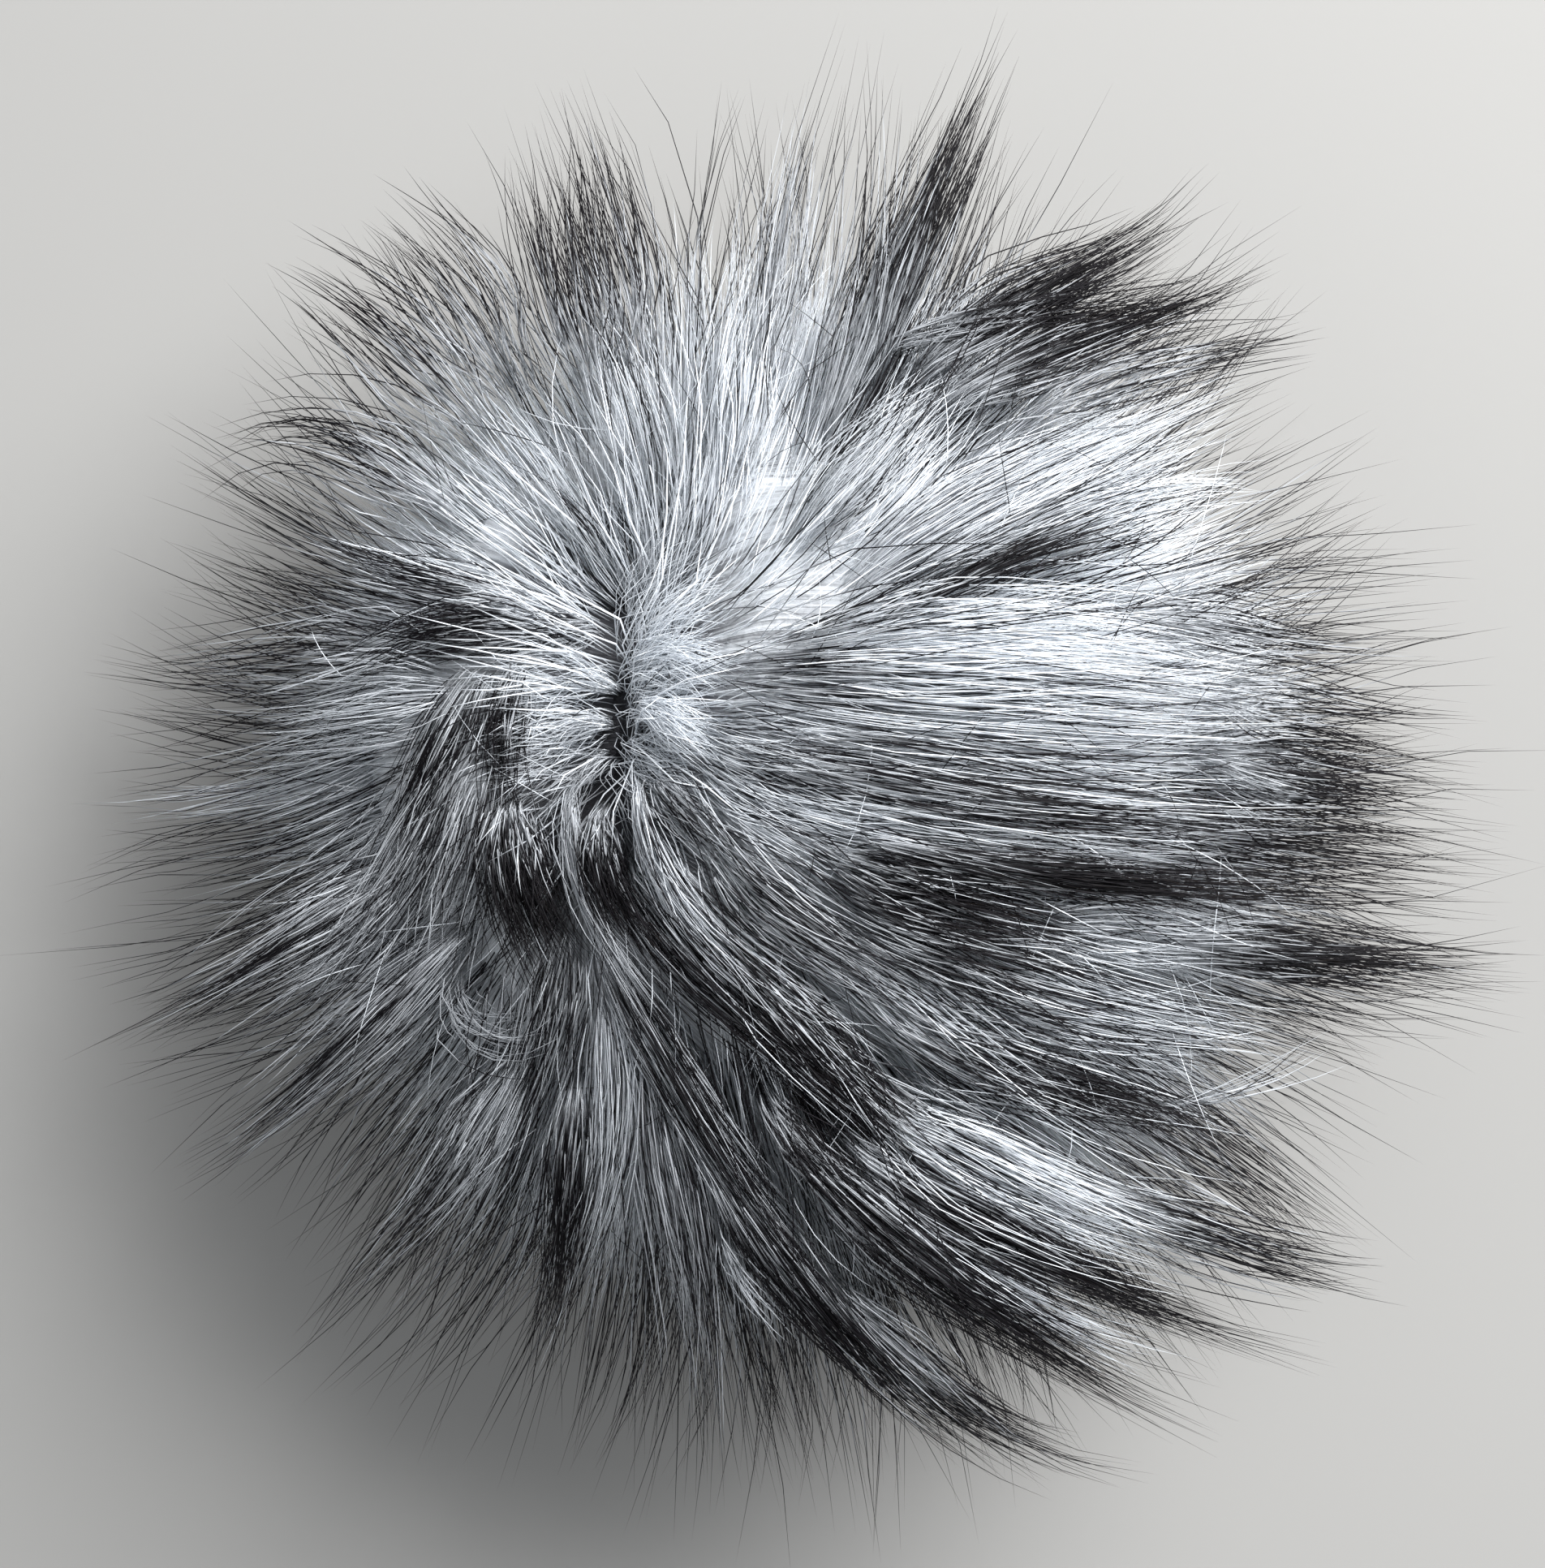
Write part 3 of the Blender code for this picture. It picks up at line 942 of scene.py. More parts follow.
# %% Make the undercoat
def make_undercoat():
    shell = bmesh.new()
    bmesh.ops.create_icosphere(shell, subdivisions=UNDERCOAT_SUBDIVISIONS, radius=BALL_RADIUS)
    roots = np.array([vert.co for vert in shell.verts]) + BALL_CENTRE
    roots[:, 2] = np.maximum(roots[:, 2], FLAT_SPOT_MARGIN)
    valley = valley_share(roots)
    tips, crest = wool_tips(roots, valley)
    for vert, tip in zip(shell.verts, tips):
        vert.co = tip
    for _ in range(UNDERCOAT_SMOOTHING):
        bmesh.ops.smooth_vert(
            shell, verts=shell.verts, factor=0.5, use_axis_x=True, use_axis_y=True, use_axis_z=True
        )
    bmesh.ops.recalc_face_normals(shell, faces=shell.faces)
    mesh = end_bmesh(shell, "undercoat")
    corner = np.empty(len(mesh.loops), dtype=np.int32)
    mesh.loops.foreach_get("vertex_index", corner)
    # How far the wool is spared painted shade: not in the parting, and less on the borders between locks.
    painted_light = valley * (1.0 - BORDER_PAINTED_SHADE + BORDER_PAINTED_SHADE * crest)
    painted_light_layer = mesh.uv_layers.new(name=PAINTED_LIGHT_MAP)
    painted_light_layer.data.foreach_set("uv", np.column_stack([crest[corner], painted_light[corner]]).ravel())
    grain = mesh.attributes.new(WOOL_GRAIN, "FLOAT_VECTOR", "POINT")
    grain.data.foreach_set("vector", grain_places(roots).ravel())
    return add_piece(mesh, wool)


undercoat = make_undercoat()
print("undercoat has", len(undercoat.data.polygons), "faces")

# %% [markdown]
# ## Under pile, pile and guard hair
# The under pile is short and soft, the pile gives the ball its pale colour, and the guard hairs are
# longer with black tips. Each kind is grown in crops of a size that one mesh can hold. The band chart
# says how many hairs of a place are dark, which is how the real streaks come about.

# %% Grow the pale under pile
UNDER_HAIRS = 5600
UNDER_LOWEST_ROOT = -0.45
UNDER_REACH = (0.42, 0.66)
UNDER_WIDTHS = (0.00010, 0.00016)
DYE_VARIATION = 0.05


def pale_dyes(tone, base):
    """Dyes of pale hairs: near the base, darker where the tone is, and never past grey."""
    dyes = base + base * tone + chance.normal(0.0, DYE_VARIATION, len(tone))
    return np.clip(dyes, 0.0, GREY_DYE)


roots = random_roots(UNDER_HAIRS, UNDER_LOWEST_ROOT)
reach = chance.uniform(*UNDER_REACH, UNDER_HAIRS)
lines, shares, strand = grow(roots, reach, rings=3, wander=0.0030, wave=0.0007, gather=0.3)
dyes = pale_dyes(charted_tone(lines[-1]) + strand_tones[strand], base=0.10)
make_hairs("under_pile", lines, chance.uniform(*UNDER_WIDTHS, UNDER_HAIRS), shares, dyes)


# %% Thin the longer hair at the parting
BARE_PARTING = 0.0025
PARTING_THINNING = 0.90


def thin_at_parting(roots):
    """Leaves out the hairs whose roots are in the parting, and most of those close beside it."""
    spots = roots[:, :2]
    in_parting = np.linalg.norm(spots - nearest_on_parting(spots), axis=1) < BARE_PARTING
    beside_it = PARTING_THINNING * nearness_to_parting(spots) ** 2
    left_out = np.maximum(beside_it, in_parting) * (roots[:, 2] > LOW_PILE[1])
    return roots[chance.uniform(size=len(roots)) > left_out]


print("the parting is bare", BARE_PARTING * 1000, "mm to each side")

# %% Grow the pale pile in crops
PILE_REACH = (0.42, 0.74)
PILE_WIDTHS = (0.00007, 0.00011)
PILE_JOINED = (0.2, 1.0)
# How black a dyed hair of the pile is, and how many are dyed as the tone rises, at most three in four.
PILE_BLACK = 0.80
PILE_BLACK_VARIATION = 0.06
DYED_GAIN = 0.70
DYED_FROM = 0.25
MOST_DYED = 0.75


def grow_pile(name, count, rings, lowest, highest=1.0):
    roots = thin_at_parting(random_roots(count, lowest, highest))
    count = len(roots)
    reach = chance.uniform(*PILE_REACH, count)
    lines, shares, strand = grow(
        roots, reach, rings, wander=0.0016, wave=0.0006, gather=0.45, joined=PILE_JOINED
    )
    tone = charted_tone(lines[-2]) + strand_tones[strand]
    pale = pale_dyes(tone, base=0.08)
    black = PILE_BLACK + chance.normal(0.0, PILE_BLACK_VARIATION, count)
    dyed = chance.uniform(size=count) < np.clip(DYED_GAIN * tone - DYED_FROM, 0.0, MOST_DYED)
    widths = chance.uniform(*PILE_WIDTHS, count)
    return make_hairs(name, lines, widths, shares, np.where(dyed, black, pale))


pile_first = grow_pile("pile_first", 5200, 5, LEAST_SEEN_ROOT)
pile_second = grow_pile("pile_second", 5200, 5, LEAST_SEEN_ROOT)
grow_pile("pile_low", 4600, 4, LOWEST_ROOT, LEAST_SEEN_ROOT)

# %% Say which guard hairs stay and how black they are
# The coat's tone without a band, over the coat and at the rim, and how much a pale band takes off there.
COAT_TONE = 0.10
RIM_TONE = 0.45
RIM_BAND_SHARE = 0.15
# How black they are over the coat and at the rim, where it goes with the band.
COAT_BLACK = 0.92
RIM_BLACK = 0.75
RIM_BLACK_GAIN = 0.10
RIM_BANDS = (-0.3, 1.3)
GUARD_BLACK_VARIATION = 0.04
# The share of them that stays: where the tone is 0, and how much more as it rises.
GUARD_KEPT = 0.20
GUARD_KEPT_GAIN = 0.55
LEAST_GUARD_KEPT = 0.04


def guard_black(band, rim):
    """Dyes of the guard hairs: black from low down over the coat, and only at the tip on the rim."""
    at_rim = RIM_BLACK + RIM_BLACK_GAIN * np.clip(band, *RIM_BANDS)
    own = chance.normal(0.0, GUARD_BLACK_VARIATION, len(band))
    return at_rim + (COAT_BLACK - at_rim) * (1.0 - rim) + own


def guard_kept(band, rim):
    """Which guard hairs stay: more where the coat is dark, and more on the rim."""
    on_rim = (RIM_TONE - COAT_TONE) * rim * np.clip(1.0 + RIM_BAND_SHARE * band, 0.0, 1.0)
    tone = COAT_TONE + band + on_rim
    share = np.clip(GUARD_KEPT + GUARD_KEPT_GAIN * tone, LEAST_GUARD_KEPT, 1.0)
    return chance.uniform(size=len(band)) < share


print("without a band", round((GUARD_KEPT + GUARD_KEPT_GAIN * COAT_TONE) * 100, 1), "% of them stay")

# %% Grow the guard hairs with their black tips
SHORTEST_GUARD = 0.62
GUARD_EXTRA = 0.48
GUARD_SKEW = 1.5
GUARD_JOINED = (0.25, 1.0)
GUARD_LIFT = 0.0018


def grow_guard_hair(name, count, rings, lowest, highest=1.0, wander=0.0018):
    roots = thin_at_parting(random_roots(count, lowest, highest))
    reach = SHORTEST_GUARD + GUARD_EXTRA * chance.uniform(size=len(roots)) ** GUARD_SKEW
    lines, shares, strand = grow(
        roots, reach, rings, wander, wave=0.0005, gather=0.85, joined=GUARD_JOINED, lift=GUARD_LIFT
    )
    band = charted_tone(lines[-2]) + strand_tones[strand]
    rim = rim_share(lines[-1])
    black = guard_black(band, rim)
    kept = guard_kept(band, rim)
    widths = chance.uniform(*PILE_WIDTHS, len(roots))
    return make_hairs(name, lines[:, kept], widths[kept], shares, black[kept])


guard_first = grow_guard_hair("guard_hair_first", 6500, 5, LEAST_SEEN_ROOT)
guard_second = grow_guard_hair("guard_hair_second", 6500, 5, LEAST_SEEN_ROOT)
grow_guard_hair("guard_hair_low", 3000, 4, LOWEST_ROOT, LEAST_SEEN_ROOT)
grow_guard_hair("stray_hair", 450, 5, 0.0, wander=0.007)

# %% [markdown]
# ## Long locks
# The photograph shows some locks that lie over the others in long curves: black spikes at the top,
# pale and black streaks to the right, a long sweep to the lower right. They follow no rule, so each is
# charted by four points of its curve, seen from above. To lie on the coat they need its height, which
# is measured from the crops that are already there.

# %% Measure how high the coat stands
HEIGHT_CELL = 0.005
HEIGHT_CELLS = 42
# This share of a cell's points lies under the surface. A cell with few points counts for less.
SURFACE_SHARE = 0.985
FULL_CELL = 60.0
EMPTY_WEIGHT = 1e-6
SPREADING_ROUNDS = 3


def all_corners(crops):
    """The corners of all these crops of hair."""
    points = []
    for crop in crops:
        flat = np.empty(3 * len(crop.data.vertices), dtype=np.float32)
        crop.data.vertices.foreach_get("co", flat)
        points.append(flat.reshape(-1, 3))
    return np.concatenate(points)


def cell_tops(points):
    """How high the points of each cell reach, and the weight of the cell."""
    cell = np.clip((points[:, :2] / HEIGHT_CELL + HEIGHT_CELLS / 2).astype(int), 0, HEIGHT_CELLS - 1)
    number = cell[:, 0] * HEIGHT_CELLS + cell[:, 1]
    order = np.lexsort((points[:, 2], number))
    number, height = number[order], points[order, 2]
    cells, first, count = np.unique(number, return_index=True, return_counts=True)
    tops, weights = np.zeros((2, HEIGHT_CELLS**2))
    tops[cells] = height[first + (SURFACE_SHARE * (count - 1)).astype(int)]
    weights[cells] = np.minimum(count, FULL_CELL) / FULL_CELL
    grid = (HEIGHT_CELLS, HEIGHT_CELLS)
    return tops.reshape(grid), weights.reshape(grid) + EMPTY_WEIGHT


def spread_out(grid):
    """Shares what is in each cell with the cells beside it."""
    for _ in range(SPREADING_ROUNDS):
        for axis in (0, 1):
            grid = grid + 0.5 * (np.roll(grid, 1, axis) + np.roll(grid, -1, axis))
    return grid


tops, weights = cell_tops(all_corners((pile_first, pile_second, guard_first, guard_second)))
heights = spread_out(tops * weights) / spread_out(weights)
print("the coat is up to", round(heights.max() * 1000, 1), "mm high")

# %% Read the height of the coat at any spot
LAST_PLACE = HEIGHT_CELLS - 1.001


def height_at(spots):
    """The height of the coat at each spot, between those of the four nearest cells."""
    place = np.clip(spots / HEIGHT_CELL + HEIGHT_CELLS / 2 - 0.5, 0.0, LAST_PLACE)
    low = place.astype(int)
    x, y = (place - low).T
    i, j = low.T
    near = heights[i, j] * (1 - x) + heights[i + 1, j] * x
    far = heights[i, j + 1] * (1 - x) + heights[i + 1, j + 1] * x
    return near * (1 - y) + far * y


print("over its middle the coat is", round(height_at(np.zeros((1, 2)))[0] * 1000, 1), "mm high")

# %% Read places off the photograph
PHOTO_SIZE = np.array([1904.0, 1932.0])
CAMERA_HEIGHT = 0.420
CAMERA_LENS = 75.5
SENSOR_WIDTH = 36.0
COAT_MIDDLE = (0.008, 0.0)
COAT_TOP = 0.067
COAT_FALL = 3.0
COAT_RIM = 0.050
PLACING_ROUNDS = 4


def from_photo(pixels):
    """Where the camera sees these places of the photograph, on a coat that falls away like a dome."""
    from_middle = (pixels - PHOTO_SIZE / 2.0) * (1.0, -1.0)
    at_floor = CAMERA_HEIGHT * SENSOR_WIDTH / CAMERA_LENS / PHOTO_SIZE.max()
    height = COAT_TOP
    for _ in range(PLACING_ROUNDS):
        spots = from_middle * at_floor * (1.0 - height / CAMERA_HEIGHT)
        aside = np.linalg.norm(spots - COAT_MIDDLE, axis=1, keepdims=True)
        height = np.maximum(COAT_TOP - COAT_FALL * aside**2, COAT_RIM)
    return spots


print("a pixel of the photograph is", round(from_photo(PHOTO_SIZE[None] / 2.0 + 1.0)[0, 0] * 1e6), "microns")

# %% Chart the long locks, with places in pixels of the photograph and widths and lifts in millimetres
PALE = 0.04
TIPPED = 0.66
HALF_BLACK = 0.80
# The two hollow rows are dark hairs laid as painted shadow in hollows between locks. The greys near the black
# patch and over the left tufts are partly painted shade, as that side lies in shade.
LONG_LOCKS = (
    # place, dye, black share, width, gather, lift, hairs, then x, y of four places along the lock
    ("first black spike", HALF_BLACK, 0.9, 4.0, 0.65, 1, 110, 1080, 470, 1125, 330, 1185, 180, 1252, 11),
    ("beside the first spike", TIPPED, 0.2, 4.2, 0.55, 1, 70, 1000, 560, 1060, 400, 1090, 260, 1110, 100),
    ("second black spike", HALF_BLACK, 0.9, 3.8, 0.75, 1, 150, 1100, 480, 1240, 380, 1380, 300, 1505, 205),
    ("third black spike", PALE, 0.95, 4.0, 0.7, 1, 150, 1120, 520, 1290, 425, 1440, 365, 1600, 285),
    ("upper right lines", HALF_BLACK, 0.5, 5.5, 0.5, 1, 80, 1250, 520, 1380, 450, 1520, 410, 1650, 375),
    ("first pale streak", 0.18, 0.14, 3.6, 0.65, 1, 170, 1000, 770, 1170, 630, 1350, 545, 1550, 455),
    ("second pale streak", 0.22, 0.16, 2.8, 0.65, 1, 100, 1100, 710, 1240, 645, 1400, 575, 1540, 520),
    ("lower pale streak", PALE, 0.2, 3.4, 0.55, 1, 100, 1180, 700, 1320, 640, 1450, 600, 1560, 590),
    ("thin black streak", PALE, 1.0, 0.7, 0.8, 1.7, 60, 1040, 792, 1170, 725, 1300, 670, 1470, 628),
    ("pale right band", PALE, 0.06, 6.0, 0.35, 1.6, 400, 920, 812, 1150, 812, 1350, 812, 1590, 850),
    ("lines over the band", PALE, 1.0, 6.0, 0.3, 1.8, 22, 850, 800, 1080, 765, 1320, 735, 1600, 745),
    ("lines at the band", PALE, 1.0, 5.0, 0.2, 2.2, 8, 850, 815, 1080, 805, 1320, 810, 1600, 830),
    ("lines under the band", PALE, 0.5, 5.5, 0.4, 1, 90, 850, 850, 1100, 870, 1380, 895, 1690, 900),
    ("right dark tips", TIPPED, 0.9, 5.5, 0.35, 1, 105, 1470, 925, 1580, 948, 1690, 962, 1810, 970),
    ("upper right tips", TIPPED, 0.5, 4.5, 0.55, 1, 80, 1380, 760, 1500, 770, 1620, 790, 1750, 800),
    ("first black streak", PALE, 0.55, 5.0, 0.55, 1, 150, 880, 915, 1100, 965, 1370, 1000, 1650, 1010),
    ("pale under the streak", PALE, 0.15, 4.0, 0.55, 0.8, 110, 900, 970, 1080, 1015, 1280, 1040, 1500, 1050),
    ("second black streak", PALE, 1.0, 1.5, 0.8, 1.8, 160, 1010, 1018, 1200, 1065, 1420, 1088, 1720, 1100),
    ("third black streak", PALE, 0.97, 3.0, 0.45, 1, 95, 1390, 1160, 1540, 1175, 1700, 1184, 1880, 1190),
    ("pale right fall", 0.3, 0.18, 4.6, 0.6, 1.2, 100, 1260, 1135, 1370, 1145, 1480, 1155, 1600, 1162),
    ("white lobe", PALE, 0.22, 5.5, 0.5, 1, 180, 1130, 1150, 1280, 1220, 1430, 1260, 1600, 1290),
    ("lines over the lobe", PALE, 1.0, 5.0, 0.5, 1, 60, 1000, 1110, 1190, 1190, 1400, 1240, 1640, 1290),
    ("fan under the lobe", PALE, 0.8, 4.0, 0.65, 1, 120, 1040, 1220, 1230, 1310, 1400, 1360, 1560, 1405),
    ("pale long sweep", PALE, 0.15, 3.4, 0.6, 1, 160, 1010, 1145, 1130, 1240, 1250, 1325, 1390, 1405),
    ("tip of the long sweep", TIPPED, 0.9, 3.6, 0.4, 1, 95, 1310, 1455, 1450, 1512, 1590, 1555, 1740, 1590),
    ("black under the sweep", PALE, 1.0, 3.0, 0.75, 1, 170, 1000, 1370, 1170, 1490, 1370, 1590, 1640, 1700),
    ("pale second sweep", PALE, 0.2, 3.2, 0.65, 1, 120, 1060, 1480, 1190, 1560, 1320, 1630, 1470, 1685),
    ("black second sweep", PALE, 0.95, 3.4, 0.7, 1, 160, 940, 1360, 1090, 1510, 1270, 1640, 1500, 1780),
    ("black from the foot", PALE, 0.8, 2.6, 0.55, 1, 200, 755, 1030, 830, 1170, 980, 1300, 1130, 1420),
    ("hollow at the foot", 0.5, 0.5, 2.6, 0.4, 1.5, 70, 800, 950, 822, 985, 860, 1022, 905, 1055),
    ("second hollow", 0.99, 1.0, 1.9, 0.4, 2.4, 190, 742, 985, 735, 1050, 760, 1120, 810, 1180),
    ("pale from the foot", 0.2, 0.12, 1.1, 0.5, 3.0, 115, 785, 945, 805, 1050, 885, 1165, 1040, 1270),
    ("black beside the foot", PALE, 0.5, 2.0, 0.4, 1, 110, 800, 1010, 860, 1120, 970, 1220, 1130, 1320),
    ("grey bend", 0.36, 0.3, 3.4, 0.55, 1, 160, 870, 1030, 940, 1110, 1060, 1190, 1220, 1260),
    ("lines of the bend", PALE, 0.7, 4.0, 0.45, 1, 40, 850, 960, 960, 1060, 1090, 1140, 1260, 1210),
    ("pale second bend", 0.36, 0.16, 1.1, 0.55, 3.0, 105, 705, 940, 700, 1040, 745, 1140, 850, 1270),
    ("black third bend", PALE, 0.85, 2.6, 0.6, 1, 130, 720, 1120, 790, 1260, 890, 1410, 1010, 1560),
    ("pale third bend", 0.3, 0.25, 2.8, 0.6, 1, 130, 760, 1180, 830, 1330, 930, 1480, 1040, 1620),
    ("bottom black lock", PALE, 0.95, 3.2, 0.65, 1, 140, 860, 1390, 950, 1540, 1070, 1680, 1220, 1810),
    ("bottom right lock", HALF_BLACK, 0.4, 3.5, 0.65, 1, 130, 1000, 1560, 1110, 1670, 1230, 1760, 1400, 1840),
    ("pale bottom lock", 0.22, 0.25, 3.0, 0.55, 1, 160, 735, 1190, 755, 1330, 745, 1470, 700, 1610),
    ("black bottom left", PALE, 0.95, 2.8, 0.6, 1, 110, 710, 1310, 705, 1430, 685, 1570, 640, 1720),
    ("bottom fall", TIPPED, 0.3, 3.6, 0.6, 1, 160, 790, 1280, 830, 1450, 865, 1620, 890, 1830),
    ("bottom left fan", TIPPED, 0.3, 4.0, 0.6, 1, 140, 660, 1280, 590, 1400, 520, 1500, 390, 1620),
    ("black patch", PALE, 0.97, 3.4, 0.1, 2.2, 280, 622, 975, 628, 1050, 652, 1130, 700, 1215),
    ("pale beside the patch", 0.5, 0.6, 3.2, 0.5, 0.6, 140, 600, 790, 535, 900, 490, 1010, 430, 1130),
    ("left fall", 0.5, 0.25, 3.8, 0.6, 0.6, 150, 560, 900, 500, 1040, 420, 1170, 300, 1290),
    ("long left tip", TIPPED, 0.45, 3.2, 0.7, 1, 150, 590, 1130, 480, 1240, 350, 1360, 190, 1470),
    ("left tips", TIPPED, 0.5, 4.0, 0.55, 1, 110, 520, 1050, 400, 1140, 270, 1220, 110, 1300),
    ("shoulder lines", PALE, 0.8, 2.6, 0.4, 1.3, 60, 680, 740, 560, 715, 450, 690, 340, 650),
    ("shoulder fall", PALE, 0.8, 3.0, 0.4, 2.2, 110, 690, 775, 590, 770, 490, 785, 380, 835),
    ("pale shoulder", 0.38, 0.12, 2.6, 0.45, 1, 60, 735, 790, 660, 772, 590, 768, 500, 790),
    ("left rim lines", TIPPED, 0.5, 4.6, 0.5, -3, 80, 480, 800, 380, 805, 260, 815, 100, 825),
    ("pale left streak", 0.3, 0.1, 2.4, 0.6, -6, 60, 470, 930, 350, 960, 230, 989, 77, 1000),
    ("upper left lines", HALF_BLACK, 0.5, 4.6, 0.55, 1, 80, 560, 620, 460, 560, 360, 520, 250, 535),
    ("top left spikes", 0.85, 0.6, 6.5, 0.35, 1, 75, 590, 520, 500, 430, 410, 350, 310, 280),
    ("second top left", 0.85, 0.6, 6.5, 0.35, 1, 70, 620, 460, 560, 370, 490, 280, 410, 200),
    ("third top left", 0.85, 0.75, 6.5, 0.3, 1, 75, 725, 470, 700, 370, 672, 260, 650, 140),
    ("fourth top left", 0.85, 0.8, 5.0, 0.4, 1, 55, 778, 430, 752, 320, 728, 210, 700, 80),
    ("pale top lock", PALE, 0.2, 3.8, 0.45, 1, 130, 880, 620, 905, 500, 920, 400, 960, 300),
    ("top tips", TIPPED, 0.2, 3.8, 0.6, 1, 90, 930, 480, 950, 350, 975, 220, 1005, 70),
    ("pale upper lock", 0.12, 0.2, 4.4, 0.35, 0.6, 90, 800, 650, 790, 550, 760, 450, 730, 370),
    ("grey beside the patch", 0.42, 0.25, 5.0, 0.25, 0.4, 180, 605, 900, 570, 1010, 545, 1110, 530, 1220),
    ("grey over the patch", 0.5, 0.85, 3.0, 0.3, 0.5, 120, 650, 795, 612, 865, 607, 955, 628, 1045),
    ("grey under the patch", 0.5, 0.45, 5.0, 0.25, 0.4, 160, 700, 1120, 680, 1220, 660, 1310, 630, 1420),
    ("left of upper parting", 0.22, 0.12, 5.0, 0.2, 0.6, 130, 775, 745, 735, 680, 690, 610, 640, 540),
    ("over the upper parting", 0.09, 0.12, 4.5, 0.2, 0.6, 110, 790, 740, 785, 660, 775, 580, 760, 490),
    ("right of upper parting", 0.22, 0.12, 4.5, 0.2, 0.6, 110, 812, 745, 840, 660, 865, 580, 885, 480),
    ("pale middle", 0.24, 0.12, 5.0, 0.3, 0.6, 130, 960, 690, 1040, 600, 1120, 520, 1210, 450),
    ("lines from the right tuft", PALE, 1.0, 3.2, -1.0, 1.4, 30, 870, 828, 970, 832, 1090, 835, 1230, 850),
    ("root of the streak", PALE, 0.95, 3.2, 0.3, 1.4, 130, 1000, 1045, 1090, 1075, 1190, 1100, 1310, 1112),
    ("right dark tips above", TIPPED, 0.85, 5.0, 0.55, 1, 60, 1480, 850, 1580, 868, 1690, 880, 1810, 880),
    ("long black line", PALE, 1.0, 1.6, 0.5, 1.4, 60, 1060, 432, 1200, 395, 1360, 362, 1540, 325),
    ("bright long lobe", PALE, 0.1, 6.0, 0.3, 1.5, 230, 1050, 1350, 1200, 1430, 1350, 1500, 1510, 1548),
    ("black sweep", PALE, 0.75, 3.2, 0.3, 1.6, 110, 860, 1130, 960, 1235, 1060, 1340, 1180, 1445),
    ("lines over long lobe", PALE, 1.0, 3.4, 0.3, 1.8, 35, 1000, 1290, 1130, 1375, 1270, 1455, 1430, 1525),
    ("pale right of the foot", 0.2, 0.25, 5.0, 0.1, 0.4, 150, 850, 885, 920, 905, 1010, 925, 1120, 940),
    ("pale under the foot", 0.18, 0.3, 5.0, 0.1, 0.4, 150, 850, 930, 915, 975, 1000, 1010, 1100, 1030),
    ("dark under the streak", PALE, 0.9, 4.0, 0.2, 1.4, 100, 1020, 1092, 1130, 1130, 1250, 1160, 1380, 1178),
    ("heart of the band", 0.02, 0.04, 5.5, 0.05, 1.7, 280, 1000, 800, 1130, 800, 1250, 803, 1380, 818),
    ("pale left rim", 0.22, 0.15, 6.0, 0.3, 1.4, 110, 570, 850, 470, 862, 370, 880, 240, 895),
    ("above the second sweep", PALE, 1.0, 2.6, 0.3, 1.6, 50, 930, 1330, 990, 1400, 1060, 1465, 1150, 1530),
    ("shade over left tufts", 0.5, 0.7, 2.2, 0.1, 1.0, 80, 740, 765, 685, 772, 625, 785, 565, 808),
    ("pale curl", 0.5, 0.05, 2.6, 0.2, 0.8, 36, 556, 1190, 570, 1255, 630, 1278, 705, 1252),
    ("pale bottom wisp", 0.2, 0.05, 0.8, 0.5, 2.0, 30, 885, 1510, 905, 1560, 935, 1605, 975, 1650),
    ("right curl", 0.35, 0.1, 0.6, 0.5, 0.6, 16, 1420, 1372, 1500, 1356, 1590, 1320, 1665, 1265),
    ("right tuft", 0.02, 0.03, 1.4, 0.25, 1.6, 120, 768, 826, 805, 806, 850, 810, 910, 838),
    ("right lower tuft", 0.02, 0.05, 1.6, 0.25, 1.6, 130, 770, 868, 810, 878, 850, 902, 905, 935),
    ("left tuft", 0.12, 0.03, 1.4, 0.25, 1.6, 90, 762, 852, 730, 838, 695, 838, 662, 852),
    ("left lower tuft", 0.2, 0.05, 1.7, 0.25, 1.6, 80, 757, 892, 722, 890, 690, 902, 660, 930),
    ("left foot tuft", 0.45, 0.1, 1.2, 0.35, 2.4, 35, 752, 925, 728, 945, 708, 975, 700, 1020),
)
print(len(LONG_LOCKS), "long locks")

# %% Follow a curve through four places
LONG_LOCK_RINGS = 5
LONG_LOCK_SHARES = np.linspace(0.0, 1.0, LONG_LOCK_RINGS + 1)
CORNERS = 4
POWERS = np.array([3, 2, 1, 0])


def curve_through(corners, places):
    """Spots at these places, 0 to 1, of the curve, and the way across the curve there."""
    spots = from_photo(np.array(corners).reshape(CORNERS, 2))
    bends = np.polyfit(np.linspace(0.0, 1.0, CORNERS), spots, POWERS[0])
    powers = places[..., None] ** POWERS
    slope = (powers[..., 1:] * POWERS[:-1]) @ bends[:-1]
    across = soft_unit(np.stack([-slope[..., 1], slope[..., 0]], axis=-1), TINY)
    return powers @ bends, across


first_curve = curve_through(LONG_LOCKS[0][7:], np.linspace(0.0, 1.0, 2))[0]
print("the", LONG_LOCKS[0][0], "is", round(math.dist(*first_curve) * 1000), "mm long")

# %% Lay one long lock
# Where along the curve hairs start and how far they run, as shares of it.
LAST_START = 0.40
START_SKEW = 1.3
LOCK_HAIR_REACH = (0.45, 0.80)
LAST_END = 1.03
# How the lock widens from its root, and then runs together.
FOOT_SPREAD = 0.35
WIDE_BETWEEN = (0.0, 0.35)
GATHERED_BETWEEN = (0.25, 1.0)
